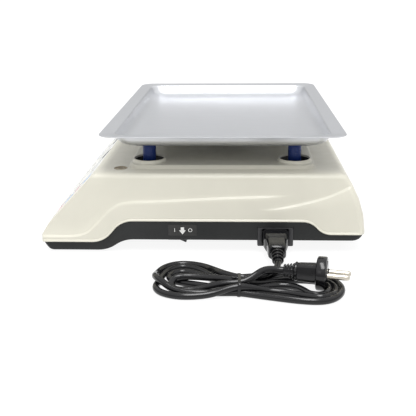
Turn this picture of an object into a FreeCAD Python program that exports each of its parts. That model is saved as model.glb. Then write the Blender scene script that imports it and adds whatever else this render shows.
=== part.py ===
import FreeCAD, Part

import math
import os
from types import SimpleNamespace

import Sketcher

# Counter-top price scale, millimetres. +Z is up, the operator's keypad slope faces -Y, and the mains inlet
# and the rocker switch are on the +X side. The origin is on the table, below the middle of the scale.

Vector = FreeCAD.Vector
doc = FreeCAD.newDocument("PriceScale")

# ---------------------------------------------------------------- driving dimensions

CELLS = {
    # side profile of the two shells
    "body_half": 171.5,
    "deck_half": 161,
    "tray_half": 168.5,
    "front_y": -154,
    "front_top": 20.8,
    "slope_end": -103,
    "deck_z": 75,
    "deck_end": 134,
    "rear_y": 154,
    "rear_knee": 24,
    "rear_radius": 90,
    "wall": 2.5,
    # the line where the housing meets the tray
    "seam_front": 10.7,
    "seam_high": 30.8,
    "seam_rear": 18.8,
    "seam_front_low": -105,
    "seam_front_high": -66,
    "seam_rear_high": 95,
    "seam_rear_low": 122,
    # base tray
    "tray_wall": 3,
    "toe_z": 2.1,
    "toe_front": -146,
    "toe_back": -94,
    "under_front": -70,
    "under_z": 12.2,
    "under_rear": 144,
    "under_radius": 9,
    # plateau, collars and posts
    "plateau_half": 142,
    "plateau_front": -71.5,
    "plateau_rear": 108,
    "plateau_z": 79.2,
    "plateau_corner": 12,
    "post_x": 124,
    "post_front": -53,
    "post_rear": 89,
    "post_radius": 6.5,
    "collar_radius": 16,
    "collar_hole": 14.5,
    "collar_z": 82.7,
    # pan
    "pan_half_x": 170,
    "pan_half_y": 115,
    "pan_y": 19,
    "pan_rim": 112.8,
    "pan_depth": 14,
    "pan_sheet": 1,
    "pan_flange": 14,
    "pan_flange_drop": 2,
    "pan_wall_run": 35,
    "pan_corner": 20,
    # platform and load cell
    "spider_z": 60,
    "spider_sheet": 4,
    "arm_width": 22,
    "cell_length": 130,
    "cell_width": 30,
    "cell_tall": 22,
    "cell_z": 30,
    "cell_front": -47,
    # levelling feet
    "foot_x": 112,
    "foot_front": -120,
    "foot_rear": 125,
    "foot_radius": 11,
    "foot_tall": 5,
    "pad_tall": 2.5,
    "stud_radius": 3,
    "thread_gap": 0.05,
    # keypad on the slope, measured along it
    "bezel_wide": 270,
    "bezel_low": 4,
    "bezel_tall": 66,
    "key_wide": 24,
    "memory_wide": 60,
    "function_wide": 34,
    "key_tall": 8.4,
    "key_pitch_y": 11.2,
    "key_row": 12,
    "key_proud": 0.9,
    "key_gap": 0.35,
    "key_lip": 0.8,
    "window_wide": 216,
    "window_tall": 15,
    "window_mid": 60.5,
    # rear display
    "rear_window_wide": 210,
    "rear_window_tall": 22,
    # switch, inlet and lead
    "switch_x": 155,
    "switch_y": -23.5,
    "rocker_swing": 24,
    "inlet_y": 69.6,
    "inlet_wide": 34,
    "inlet_low": 6.6,
    "inlet_top": 25.3,
    "inlet_deep": 26,
    "lead_diameter": 6,
    "plug_radius": 14.5,
    "plug_disc": 9,
}


class Dim:
    """A size: its value, and the expression on the sheet's cells that gives it."""

    def __init__(self, value, text=None):
        self.value = float(value)
        self.text = text or f"({self.value!r})"
        self.bound = text is not None

    def join(self, other, sign, value):
        text = f"({self.text} {sign} {other.text})"
        return Dim(value, text if self.bound or other.bound else None)

    def __add__(self, other):
        other = dim(other)
        return self.join(other, "+", self.value + other.value)

    def __sub__(self, other):
        other = dim(other)
        return self.join(other, "-", self.value - other.value)

    def __mul__(self, other):
        other = dim(other)
        return self.join(other, "*", self.value * other.value)

    def __truediv__(self, other):
        other = dim(other)
        return self.join(other, "/", self.value / other.value)

    def __radd__(self, other):
        return dim(other) + self

    def __rsub__(self, other):
        return dim(other) - self

    def __rmul__(self, other):
        return dim(other) * self

    def __neg__(self):
        return dim(0) - self


def dim(size):
    return size if isinstance(size, Dim) else Dim(size)


sheet = doc.addObject("Spreadsheet::Sheet", "Size")
for row, (alias, number) in enumerate(CELLS.items(), start=1):
    sheet.set(f"A{row}", alias)
    sheet.set(f"B{row}", str(number))
    sheet.setAlias(f"B{row}", alias)
doc.recompute()
S = SimpleNamespace(**{alias: Dim(number, f"Size.{alias}") for alias, number in CELLS.items()})

# ---------------------------------------------------------------- helpers

nodes = {}


def node(name, obj):
    """Name an object as a sub-part of the scale."""
    obj.Label = name
    nodes[name] = obj
    return obj


def bind(obj, prop, size):
    """Set a property's value, and bind it to the sheet where the size comes from there."""
    size = dim(size)
    if size.bound:
        obj.setExpression(prop, size.text)
    return size.value


def place(obj, base, axis=None, angle=0):
    """Put an object at base, turned by angle about axis."""
    x, y, z = (bind(obj, f"Placement.Base.{k}", v) for k, v in zip("xyz", base))
    turn = FreeCAD.Rotation(Vector(*(axis or (0, 0, 1))), angle)
    obj.Placement = FreeCAD.Placement(Vector(x, y, z), turn)
    return obj


def box(size, low, name="Block"):
    """A box from its low corner."""
    obj = doc.addObject("Part::Box", name)
    obj.Length = bind(obj, "Length", size[0])
    obj.Width = bind(obj, "Width", size[1])
    obj.Height = bind(obj, "Height", size[2])
    return place(obj, low)


def middle_box(size, centre, name="Block"):
    """A box about a centre in X and Y, standing on the centre's Z."""
    return box(size, (centre[0] - dim(size[0]) / 2, centre[1] - dim(size[1]) / 2, centre[2]), name)


def cylinder(radius, tall, base, axis=None, angle=0, name="Round"):
    obj = doc.addObject("Part::Cylinder", name)
    obj.Radius = bind(obj, "Radius", radius)
    obj.Height = bind(obj, "Height", tall)
    return place(obj, base, axis, angle)


def cone(radius_low, radius_high, tall, base, axis=None, angle=0):
    obj = doc.addObject("Part::Cone", "Taper")
    obj.Radius1 = bind(obj, "Radius1", radius_low)
    obj.Radius2 = bind(obj, "Radius2", radius_high)
    obj.Height = bind(obj, "Height", tall)
    return place(obj, base, axis, angle)


def fuse(shapes):
    obj = doc.addObject("Part::MultiFuse", "Joined")
    obj.Shapes = shapes
    return obj


def group(shapes):
    """Separate solids in one sub-part."""
    obj = doc.addObject("Part::Compound", "Group")
    obj.Links = shapes
    return obj


def cut(base, tools):
    obj = doc.addObject("Part::Cut", "Trimmed")
    obj.Base = base
    obj.Tool = tools[0] if len(tools) == 1 else fuse(tools)
    return obj


def arc_middle(a, b, radius):
    """The middle of the short arc from a to b. A positive radius turns left, a negative one right."""
    half = (b - a) * 0.5
    left = Vector(-half.y, half.x, 0).normalize()
    rise = abs(radius) - math.sqrt(radius * radius - half.Length * half.Length)
    return a + half - left * math.copysign(rise, radius)


def draw(sketch, corners):
    """Close an outline of (u, v) corners. A third number is the radius of the arc that arrives there."""
    spots = [Vector(dim(c[0]).value, dim(c[1]).value, 0) for c in corners]
    ends = []
    for i, corner in enumerate(corners):
        a, b = spots[i - 1], spots[i]
        if len(corner) == 3:
            radius = dim(corner[2])
            turns_left = radius.value > 0
            first, last = (a, b) if turns_left else (b, a)
            curve = Part.Arc(first, arc_middle(a, b, radius.value), last)
            index = sketch.addGeometry(curve, False)
            ends.append((index, 1, 2) if turns_left else (index, 2, 1))
            size = radius if turns_left else -radius
            held = sketch.addConstraint(Sketcher.Constraint("Radius", index, size.value))
            sketch.renameConstraint(held, f"arc{i}")
            bind(sketch, f"Constraints.arc{i}", size)
        else:
            index = sketch.addGeometry(Part.LineSegment(a, b), False)
            ends.append((index, 1, 2))
    for i, corner in enumerate(corners):
        this, ahead = ends[i], ends[(i + 1) % len(ends)]
        sketch.addConstraint(Sketcher.Constraint("Coincident", this[0], this[2], ahead[0], ahead[1]))
        for letter, kind, size in (("u", "DistanceX", corner[0]), ("v", "DistanceY", corner[1])):
            held = Sketcher.Constraint(kind, -1, 1, this[0], this[2], dim(size).value)
            sketch.renameConstraint(sketch.addConstraint(held), f"{letter}{i}")
            bind(sketch, f"Constraints.{letter}{i}", size)


def sketch_on(body, plane, corners):
    """An outline on one of a body's own origin planes."""
    sketch = body.newObject("Sketcher::SketchObject", "Outline")
    face = [f for f in body.Origin.OriginFeatures if f.Role == plane][0]
    sketch.AttachmentSupport = (face, "")
    sketch.MapMode = "FlatFace"
    doc.recompute()
    draw(sketch, corners)
    return sketch


def prism(plane, corners, length, name="Prism", both=True):
    """A body padded from an outline, both ways or upwards from its plane."""
    body = doc.addObject("PartDesign::Body", name)
    pad = body.newObject("PartDesign::Pad", "Pad")
    pad.Profile = sketch_on(body, plane, corners)
    pad.Length = bind(pad, "Length", length)
    pad.Midplane = both
    doc.recompute()
    return body


def rounded(half_x, half_y, radius, centre=(0, 0)):
    """The corners of a rounded rectangle, counter-clockwise."""
    x, y = dim(centre[0]), dim(centre[1])
    right, left, back, front = x + half_x, x - half_x, y + half_y, y - half_y
    return [
        (right - radius, front),
        (right, front + radius, radius),
        (right, back - radius),
        (right - radius, back, radius),
        (left + radius, back),
        (left, back - radius, radius),
        (left, front + radius),
        (left + radius, front, radius),
    ]


def plate(half_x, half_y, radius, thick, base):
    """A plate with rounded corners, standing on base."""
    body = prism("XY_Plane", rounded(half_x, half_y, radius), thick, "Plate", both=False)
    return place(body, base)


# ---------------------------------------------------------------- housing and tray


def s_radius(run, rise):
    """The radius of two equal arcs that step a level line by rise over run."""
    return (run * run + rise * rise) / (4 * rise)


def seam():
    """The line where housing and tray meet, from the rear to the front."""
    rear_run = S.seam_rear_low - S.seam_rear_high
    rear_rise = S.seam_high - S.seam_rear
    front_run = S.seam_front_high - S.seam_front_low
    front_rise = S.seam_high - S.seam_front
    rear_arc = s_radius(rear_run, rear_rise)
    front_arc = s_radius(front_run, front_rise)
    return [
        (S.seam_rear_low, S.seam_rear),
        ((S.seam_rear_low + S.seam_rear_high) / 2, (S.seam_rear + S.seam_high) / 2, -rear_arc),
        (S.seam_rear_high, S.seam_high, rear_arc),
        (S.seam_front_high, S.seam_high),
        ((S.seam_front_low + S.seam_front_high) / 2, (S.seam_front + S.seam_high) / 2, front_arc),
        (S.seam_front_low, S.seam_front, -front_arc),
    ]


def side_wedges(half, top_half, top, name):
    """Two long wedges outside the leaning side walls."""
    far = half + 20
    right = [(half, 0), (far, 0), (far, top + 10), (top_half - (half - top_half) * 10 / top, top + 10)]
    left = [(-u, v) for u, v in reversed(right)]
    long = (S.rear_y - S.front_y) + 40
    return [prism("XZ_Plane", side, long, name) for side in (right, left)]


SLOPE_RUN = S.slope_end - S.front_y
SLOPE_RISE = S.deck_z - S.front_top
SLOPE_LONG = math.hypot(SLOPE_RUN.value, SLOPE_RISE.value)
SLOPE_ANGLE = math.degrees(math.atan2(SLOPE_RISE.value, SLOPE_RUN.value))
WALL_ALONG_Y = SLOPE_LONG / SLOPE_RISE.value
WALL_AT_TOP = WALL_ALONG_Y - SLOPE_RUN.value / SLOPE_RISE.value
WALL_AT_NOSE = (WALL_ALONG_Y - 1) * SLOPE_RISE.value / SLOPE_RUN.value


def housing_outside():
    """The solid inside the housing's outer skin."""
    profile = [
        (S.front_y, S.seam_front),
        (S.front_y, S.front_top),
        (S.slope_end, S.deck_z),
        (S.deck_end, S.deck_z),
        (S.rear_y, S.rear_knee, -S.rear_radius),
        (S.rear_y, S.seam_rear),
    ] + seam()
    solid = prism("YZ_Plane", profile, S.body_half * 2, "HousingOutside")
    return cut(solid, side_wedges(S.body_half, S.deck_half, S.deck_z, "SideDraft"))


def housing_inside():
    """The space inside the housing."""
    front = S.front_y + S.wall
    rear = S.rear_y - S.wall
    ceiling = S.deck_z - S.wall
    profile = [
        (front, 0),
        (front, S.front_top - S.wall * WALL_AT_NOSE),
        (S.slope_end + S.wall * WALL_AT_TOP, ceiling),
        (S.deck_end - S.wall * 0.7, ceiling),
        (rear, S.rear_knee, -S.rear_radius),
        (rear, 0),
    ]
    solid = prism("YZ_Plane", profile, (S.body_half - S.wall) * 2, "HousingInside")
    inner = side_wedges(S.body_half - S.wall, S.deck_half - S.wall, S.deck_z, "InnerDraft")
    return cut(solid, inner)


POST_SPOTS = {
    "front_left": (-S.post_x, S.post_front),
    "front_right": (S.post_x, S.post_front),
    "rear_left": (-S.post_x, S.post_rear),
    "rear_right": (S.post_x, S.post_rear),
}
SCREW_SPOTS = [(x, y) for x in (-148, 148) for y in (-58, 116)]
SCREW_RADIUS = 1.5
BOSS_RADIUS = 4
LEVEL_SPOT = (137, -80)
LEVEL_RADIUS = 6.5


def on_slope(obj):
    """Carry a piece drawn flat onto the keypad slope: X along it, Y up it, Z out of it."""
    return place(obj, (0, S.front_y, S.front_top), (1, 0, 0), SLOPE_ANGLE)


REAR_RUN = S.rear_y - S.deck_end
REAR_DROP = S.deck_z - S.rear_knee
REAR_CHORD = math.hypot(REAR_RUN.value, REAR_DROP.value)
REAR_TILT = -math.degrees(math.atan2(REAR_DROP.value, REAR_RUN.value))
REAR_SAGITTA = S.rear_radius.value - math.sqrt(S.rear_radius.value**2 - REAR_CHORD**2 / 4)
REAR_SINK = 0.75


def on_rear(obj):
    """Carry a piece drawn flat onto the rear slope, its outer face at Z = 0."""
    out = (REAR_SAGITTA - REAR_SINK) / REAR_CHORD
    middle_y = (S.rear_y + S.deck_end) / 2
    middle_z = (S.deck_z + S.rear_knee) / 2
    return place(obj, (0, middle_y + REAR_DROP * out, middle_z + REAR_RUN * out), (1, 0, 0), REAR_TILT)


def flat_box(wide, tall, mid, low, high):
    """A box in a slope's own axes: centred in X, about mid in Y, from low to high in Z."""
    return box((wide, tall, dim(high) - low), (-dim(wide) / 2, mid - dim(tall) / 2, low))


def upper_housing():
    """Ivory shell with its plateau, collars, screw bosses and the two display openings."""
    shell = cut(housing_outside(), [housing_inside()])
    plateau_y = (S.plateau_front + S.plateau_rear) / 2
    plateau_half_y = (S.plateau_rear - S.plateau_front) / 2
    top = plate(
        S.plateau_half,
        plateau_half_y,
        S.plateau_corner,
        S.plateau_z - S.deck_z + 1,
        (0, plateau_y, S.deck_z - 1),
    )
    added = [shell, top]
    removed = []
    for x, y in POST_SPOTS.values():
        added.append(cylinder(S.collar_radius, S.collar_z - S.deck_z + 1, (x, y, S.deck_z - 1)))
        removed.append(cylinder(S.collar_hole, 30, (x, y, S.collar_z - 20)))
    floor = S.under_z + S.tray_wall
    for x, y in SCREW_SPOTS:
        added.append(cylinder(BOSS_RADIUS, S.deck_z - S.wall - floor + 1, (x, y, floor)))
        removed.append(cylinder(SCREW_RADIUS, 14, (x, y, floor)))
    removed.append(cylinder(LEVEL_RADIUS, 10, (*LEVEL_SPOT, S.deck_z - 6)))
    opening = flat_box(S.bezel_wide, S.bezel_tall, S.bezel_low + S.bezel_tall / 2, -8, 5)
    removed.append(on_slope(group([opening])))
    rear_opening = flat_box(S.rear_window_wide, S.rear_window_tall, 0, -8, 6)
    removed.append(on_rear(group([rear_opening])))
    node("upper_housing", cut(fuse(added), removed))


FOOT_SPOTS = {
    "front_left": (-S.foot_x, S.foot_front),
    "front_right": (S.foot_x, S.foot_front),
    "rear_left": (-S.foot_x, S.foot_rear),
    "rear_right": (S.foot_x, S.foot_rear),
}
CUP_RADIUS = 17
CUP_HOLE = 14
FOOT_ROOF = 11.5
NUT_TALL = 6
STUD_TOP = 24


def base_tray():
    """Shallow tray with a toe under the keypad, cups over the front feet, and the inlet's opening."""
    profile = [
        (S.front_y, S.seam_front),
        (S.toe_front, S.toe_z),
        (S.toe_back, S.toe_z),
        (S.under_front, S.under_z),
        (S.under_rear, S.under_z),
        (S.rear_y, S.seam_rear, S.under_radius),
    ] + seam()
    outside = prism("YZ_Plane", profile, S.tray_half * 2, "TrayOutside")
    inner_rear = S.rear_y - S.tray_wall - 1.5
    hollow = [
        (S.toe_front + 1.5, S.toe_z + S.tray_wall),
        (S.toe_back - 1, S.toe_z + S.tray_wall),
        (S.under_front - 1.2, S.under_z + S.tray_wall),
        (S.under_rear - 2, S.under_z + S.tray_wall),
        (inner_rear, S.seam_rear),
        (inner_rear, 40),
        (S.toe_front - 3, 40),
        (S.toe_front - 3, S.seam_front - 1.5),
    ]
    inside = prism("YZ_Plane", hollow, (S.tray_half - S.tray_wall) * 2, "TrayInside")
    added = [cut(outside, [inside])]
    removed = []
    for name, (x, y) in FOOT_SPOTS.items():
        if name.startswith("front"):
            added.append(cylinder(CUP_RADIUS, FOOT_ROOF + 2.5 - S.toe_z, (x, y, S.toe_z)))
            removed.append(cylinder(CUP_HOLE, FOOT_ROOF, (x, y, 0)))
        added.append(cylinder(8, NUT_TALL, (x, y, S.under_z + 1)))
        removed.append(cylinder(5, NUT_TALL + 20, (x, y, FOOT_ROOF)))
    floor = S.under_z - 1
    for x, y in SCREW_SPOTS:
        removed.append(cylinder(SCREW_RADIUS + 0.1, 6, (x, y, floor)))
    for y in CELL_BOLT_REAR:
        removed.append(cylinder(CELL_BOLT + 0.1, 6, (0, y, floor)))
    removed.append(cylinder(STOP_RADIUS, 6, (0, STOP_Y, floor)))
    removed.append(middle_box((13.2, 19.4, 6), (S.switch_x, S.switch_y, floor)))
    inlet = (S.inlet_deep + 2, S.inlet_wide, S.inlet_top - S.inlet_low + 2)
    removed.append(box(inlet, (S.tray_half - S.inlet_deep, S.inlet_y - S.inlet_wide / 2, S.inlet_low - 2)))
    node("base_tray", cut(fuse(added), removed))


def housing_screws():
    """Screws that hold the tray to the housing's bosses."""
    screws = []
    for x, y in SCREW_SPOTS:
        shank = cylinder(SCREW_RADIUS, 14, (x, y, S.under_z))
        screws.append(fuse([shank, cylinder(3, 1.4, (x, y, S.under_z - 1.4))]))
    node("housing_screws", group(screws))


def foot_nuts():
    """Threaded inserts of the tray, one for each foot."""
    nuts = []
    for x, y in FOOT_SPOTS.values():
        outer = cylinder(5, NUT_TALL, (x, y, S.under_z + 1))
        nuts.append(cut(outer, [cylinder(S.stud_radius + S.thread_gap, 20, (x, y, S.under_z - 4))]))
    node("foot_nuts", group(nuts))


def levelling_feet():
    """Foot with its threaded stud, and the pad bonded under it."""
    for name, (x, y) in FOOT_SPOTS.items():
        wheel = cylinder(S.foot_radius, S.foot_tall, (x, y, S.pad_tall))
        stud = cylinder(S.stud_radius, STUD_TOP - S.pad_tall, (x, y, S.pad_tall))
        pad = cone(S.foot_radius - 1.5, S.foot_radius - 0.5, S.pad_tall, (x, y, 0))
        node(f"foot_{name}", fuse([wheel, stud, pad]))


# ---------------------------------------------------------------- keypad and displays

BEZEL_THICK = 2.5
DIGIT_COLUMNS = {"a": -14, "b": 15, "c": 44}
MEMORY_X = -82
FUNCTION_X = 94

# Each key: its middle along the slope's width, its lowest row, how many rows tall, and its width.
KEYS = {}
for line in range(4):
    for column, column_x in DIGIT_COLUMNS.items():
        KEYS[f"key_digit_{column}{line + 1}"] = (column_x, line, 1, S.key_wide)
    KEYS[f"key_memory_{line + 1}"] = (MEMORY_X, line, 1, S.memory_wide)
for pair in range(2):
    KEYS[f"key_function_{pair + 1}"] = (FUNCTION_X, 2 * pair, 2, S.function_wide)


def key_size(key):
    """Width and height of a key."""
    rows, wide = KEYS[key][2:]
    return wide, S.key_tall + S.key_pitch_y * (rows - 1)


def key_middle(key):
    """The centre of a key on the slope."""
    x, line, rows = KEYS[key][:3]
    return dim(x), S.key_row + S.key_pitch_y * (line + (rows - 1) / 2)


def keypad_bezel():
    """Panel on the slope, with a hole for each key and for the display."""
    sheet_plate = flat_box(S.bezel_wide, S.bezel_tall, S.bezel_low + S.bezel_tall / 2, -BEZEL_THICK, 0)
    holes = [flat_box(S.window_wide, S.window_tall, S.window_mid, -6, 3)]
    for key in KEYS:
        wide, tall = key_size(key)
        x, y = key_middle(key)
        holes.append(middle_box((wide + 2 * S.key_gap, tall + 2 * S.key_gap, 12), (x, y, -6)))
    node("keypad_bezel", on_slope(cut(sheet_plate, holes)))


def keys():
    """Each key is a cap on a wider lip that stays behind the bezel."""
    for key in KEYS:
        wide, tall = key_size(key)
        x, y = key_middle(key)
        lip_low = -BEZEL_THICK - 0.3 - S.key_lip
        cap = middle_box((wide, tall, S.key_proud - lip_low), (x, y, lip_low))
        lip = middle_box((wide + 1.8, tall + 1.6, S.key_lip), (x, y, lip_low))
        node(key, on_slope(fuse([cap, lip])))


def displays():
    """Front and rear display: a lens in the shell, and glass on a board behind it."""
    lens = flat_box(S.window_wide, S.window_tall, S.window_mid, -1.8, -0.2)
    node("display_lens", on_slope(group([lens])))
    glass = flat_box(S.window_wide - 4, 17, S.window_mid - 0.5, -6, -3)
    board = flat_box(226, 18, S.window_mid - 0.5, -8, -6)
    node("display_module", on_slope(fuse([glass, board])))
    board = flat_box(240, 45, 28, -6.6, -5)
    node("keypad_board", on_slope(group([board])))
    rear_lens = flat_box(S.rear_window_wide, S.rear_window_tall, 0, -2, 0)
    node("rear_display_lens", on_rear(group([rear_lens])))
    rear_glass = flat_box(200, 18, 0, -6.5, -3)
    rear_board = flat_box(206, 20, 0, -8, -6.5)
    node("rear_display_module", on_rear(fuse([rear_glass, rear_board])))


def bubble_level():
    """A small sealed round level in the deck's front corner, beside the keypad."""
    node("level_vial", group([cylinder(LEVEL_RADIUS, 6, (*LEVEL_SPOT, S.deck_z - 6.4))]))


# ---------------------------------------------------------------- weighing works

CELL_BOLT = 2.5
CELL_BOLT_REAR = (60.5, 75.5)
CELL_BOLT_FRONT = (-39.5, -24.5)
BLOCK_LONG = 30
STOP_RADIUS = 3
STOP_Y = -32


def load_cell():
    """A single-point bar: a binocular hole leaves four thin bending sections."""
    middle = S.cell_front + S.cell_length / 2
    height = S.cell_z + S.cell_tall / 2
    bar = box((S.cell_width, S.cell_length, S.cell_tall), (-S.cell_width / 2, S.cell_front, S.cell_z))
    holes = []
    for y in (middle - 16, middle + 16):
        holes.append(cylinder(8.5, S.cell_width + 4, (-S.cell_width / 2 - 2, y, height), (0, 1, 0), 90))
    holes.append(box((S.cell_width + 4, 32, 6), (-S.cell_width / 2 - 2, middle - 16, height - 3)))
    for y in CELL_BOLT_REAR + CELL_BOLT_FRONT:
        holes.append(cylinder(CELL_BOLT + 0.1, S.cell_tall + 4, (0, y, S.cell_z - 2)))
    node("load_cell", cut(bar, holes))
    floor = S.under_z + S.tray_wall
    rear_y = S.cell_front + S.cell_length - BLOCK_LONG
    block = box((S.cell_width, BLOCK_LONG, S.cell_z - floor), (-S.cell_width / 2, rear_y, floor))
    bores = [cylinder(CELL_BOLT + 0.1, 30, (0, y, floor - 5)) for y in CELL_BOLT_REAR]
    node("cell_mount_block", cut(block, bores))
    bolts = []
    for y in CELL_BOLT_REAR:
        shank = cylinder(CELL_BOLT, 34, (0, y, S.under_z))
        bolts.append(fuse([shank, cylinder(4.2, 2, (0, y, S.under_z - 2))]))
    node("cell_bolts", group(bolts))
    node("overload_stop", group([cylinder(STOP_RADIUS, S.cell_z - 0.9 - S.under_z, (0, STOP_Y, S.under_z))]))


def platform():
    """The spider under the deck, with the block that stands it on the load cell's free end."""
    block_z = S.cell_z + S.cell_tall
    block = box(
        (S.cell_width, BLOCK_LONG, S.spider_z - block_z),
        (-S.cell_width / 2, S.cell_front, block_z),
    )
    bores = [cylinder(CELL_BOLT + 0.1, 30, (0, y, block_z - 5)) for y in CELL_BOLT_FRONT]
    block = cut(block, bores)
    arm = S.post_x * 2 + 26
    arms = []
    for y in (S.post_front, S.post_rear):
        arms.append(middle_box((arm, S.arm_width, S.spider_sheet), (0, y, S.spider_z)))
    spine = middle_box(
        (60, S.post_rear - S.post_front, S.spider_sheet),
        (0, (S.post_rear + S.post_front) / 2, S.spider_z),
    )
    ribs = []
    for y in (S.post_front, S.post_rear):
        ribs.append(middle_box((arm, 3, 5), (0, y - S.arm_width / 2 + 1.5, S.spider_z - 5)))
        ribs.append(middle_box((arm, 3, 5), (0, y + S.arm_width / 2 - 1.5, S.spider_z - 5)))
    holes = [cylinder(CELL_BOLT + 0.1, 20, (0, y, S.spider_z - 10)) for y in CELL_BOLT_FRONT]
    for x, y in POST_SPOTS.values():
        holes.append(cylinder(2.1, 20, (x, y, S.spider_z - 10)))
    keep_clear = middle_box((S.cell_width + 2, BLOCK_LONG + 40, 10), (0, S.cell_front + 5, S.spider_z - 10))
    frame = cut(fuse(arms + [spine] + ribs), holes + [keep_clear])
    node("platform_spider", fuse([frame, block]))
    bolts = []
    for y in CELL_BOLT_FRONT:
        shank = cylinder(CELL_BOLT, 22, (0, y, S.spider_z + S.spider_sheet - 22))
        bolts.append(fuse([shank, cylinder(4.2, 2.5, (0, y, S.spider_z + S.spider_sheet))]))
    node("platform_bolts", group(bolts))


def posts():
    """Each post flares under the pan, and is screwed to the spider from below."""
    foot = S.spider_z + S.spider_sheet
    top = S.pan_rim - S.pan_depth - S.pan_sheet
    screws = []
    for name, (x, y) in POST_SPOTS.items():
        base = cylinder(9, 3, (x, y, foot))
        stem = cylinder(S.post_radius, top - foot, (x, y, foot))
        flare = cone(S.post_radius, 10, 4, (x, y, top - 4.6))
        rim = cylinder(10, 0.6, (x, y, top - 0.6))
        node(f"post_{name}", cut(fuse([base, stem, flare, rim]), [cylinder(2, 14, (x, y, foot - 2))]))
        shank = cylinder(2, 15, (x, y, S.spider_z - 1))
        screws.append(fuse([shank, cylinder(3.6, 2, (x, y, S.spider_z - 2))]))
    node("post_screws", group(screws))


def ring_sketch(inset, corner, height):
    """A rounded rectangle of the pan's plan, inset from its rim, at a height."""
    sketch = doc.addObject("Sketcher::SketchObject", "PanRing")
    draw(sketch, rounded(S.pan_half_x - inset, S.pan_half_y - inset, corner))
    return place(sketch, (0, S.pan_y, height))


def dish(drop):
    """The space inside the pan, from its floor up to its rim, lowered by drop."""
    floor = S.pan_rim - S.pan_depth - drop
    crease = S.pan_rim - S.pan_flange_drop - drop
    loft = doc.addObject("Part::Loft", "Dish")
    loft.Sections = [
        ring_sketch(S.pan_wall_run, dim(11), floor),
        ring_sketch(S.pan_flange, dim(15), crease),
        ring_sketch(dim(0), S.pan_corner, S.pan_rim - drop),
    ]
    loft.Solid = True
    loft.Ruled = True
    return loft


def weighing_pan():
    """A pressed sheet: flat floor, sloping walls, and a flange that rises a little to the rim."""
    outline = rounded(S.pan_half_x, S.pan_half_y, S.pan_corner)
    edge = prism("XY_Plane", outline, S.pan_sheet, "Edge", both=False)
    place(edge, (0, S.pan_y, S.pan_rim - S.pan_sheet))
    node("weighing_pan", cut(fuse([dish(S.pan_sheet), edge]), [dish(dim(0))]))


# ---------------------------------------------------------------- electrics inside

# Size and place of each tall component on the main board.
BOARD_PARTS = [
    ((14, 14, 3), (80, 10, 22)),
    ((20, 8, 8), (110, -18, 22)),
    ((8, 22, 9), (124, 14, 22)),
    ((10, 10, 12), (64, 30, 22)),
]


def electrics():
    """Main board on four stand-offs, battery pack, and mains transformer on its winding."""
    floor = S.under_z + S.tray_wall
    board = middle_box((92, 76, 1.6), (88, 8, floor + 6))
    parts = [middle_box((12, 12, 6), (x, y, floor)) for x in (50, 126) for y in (-22, 38)]
    parts += [middle_box(size, spot) for size, spot in BOARD_PARTS]
    node("main_board", fuse([board] + parts))
    node("battery", group([middle_box((101, 70, 44), (-88, 32, floor))]))
    core = middle_box((48, 22, 34), (60, 118, floor))
    winding = middle_box((30, 34, 20), (60, 118, floor + 7))
    node("transformer", fuse([core, winding]))


# ---------------------------------------------------------------- switch and label

SWITCH_FRAME = 2
PIVOT_Z = 11.4


def power_switch():
    """The switch hangs through the tray's floor, its rocker facing down."""
    x, y = S.switch_x, S.switch_y
    frame = middle_box((15, 21, SWITCH_FRAME), (x, y, S.under_z - SWITCH_FRAME))
    case = middle_box((13, 19.2, 13), (x, y, S.under_z))
    room = middle_box((10.4, 18.4, 10), (x, y, PIVOT_Z - 4))
    tabs = [middle_box((5, 0.8, 7), (x, y + off, S.under_z + 13)) for off in (-6, 0, 6)]
    node("switch_body", cut(fuse([frame, case] + tabs), [room]))
    profile = [
        (-7.7, -1.0),
        (0, -1.6),
        (7.7, -4.5),
        (8.1, -3.2),
        (6, 3),
        (-6, 3),
        (-8.1, 0.2),
    ]
    rocker = prism("YZ_Plane", profile, 9.6, "Rocker")
    node("rocker", place(rocker, (x, y, PIVOT_Z)))
    node("switch_label", group([box((0.25, 27, 11), (S.tray_half, -32, 16.8))]))


# ---------------------------------------------------------------- mains inlet and lead

PIN_SPOTS = ((-7, 12.2), (0, 17.6), (7, 12.2))
SOCKET_DEEP = 17.5


def mains_inlet():
    """Inlet block with its socket and three flat pins."""
    low_y = S.inlet_y - S.inlet_wide / 2
    tall = S.inlet_top - S.inlet_low
    case = box((S.inlet_deep, S.inlet_wide, tall), (S.tray_half - S.inlet_deep, low_y, S.inlet_low))
    socket = box((SOCKET_DEEP, 24.8, 16.6), (S.tray_half - SOCKET_DEEP, S.inlet_y - 12.4, S.inlet_low + 1.1))
    node("inlet_housing", cut(case, [socket]))
    pins = []
    for off, z in PIN_SPOTS:
        pins.append(box((13, 4, 2), (S.tray_half - SOCKET_DEEP, S.inlet_y + off - 2, z)))
    node("inlet_pins", group(pins))


GRIP_END = 207
NOSE_LONG = 17
BOOT_TILT = 12
BOOT_LONG = 15.4


def lead_connector():
    """Moulded connector in the inlet: nose, tapering grip, and a ribbed boot that droops a little."""
    nose = box((NOSE_LONG, 24, 15.8), (S.tray_half - NOSE_LONG, S.inlet_y - 12, S.inlet_low + 1.5))
    slots = []
    for off, z in PIN_SPOTS:
        slots.append(box((14.5, 4.6, 2.6), (S.tray_half - 18, S.inlet_y + off - 2.3, z - 0.3)))
    grip = doc.addObject("Part::Loft", "Grip")
    ends = []
    sections = ((S.tray_half, 12, 8, 16), (198, 8.6, 7.4, 15.6), (GRIP_END, 7.6, 6.8, 15.2))
    for x, half_y, half_z, z in sections:
        sketch = doc.addObject("Sketcher::SketchObject", "GripEnd")
        draw(sketch, rounded(dim(half_z), dim(half_y), dim(3)))
        ends.append(place(sketch, (x, S.inlet_y, z), (0, 1, 0), 90))
    grip.Sections = ends
    grip.Solid = True
    grip.Ruled = True
    boot = cone(6.4, 4.4, BOOT_LONG, (GRIP_END - 0.3, S.inlet_y, 15), (0, 1, 0), 90 + BOOT_TILT)
    node("lead_connector", cut(fuse([nose, grip, boot]), slots))


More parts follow.
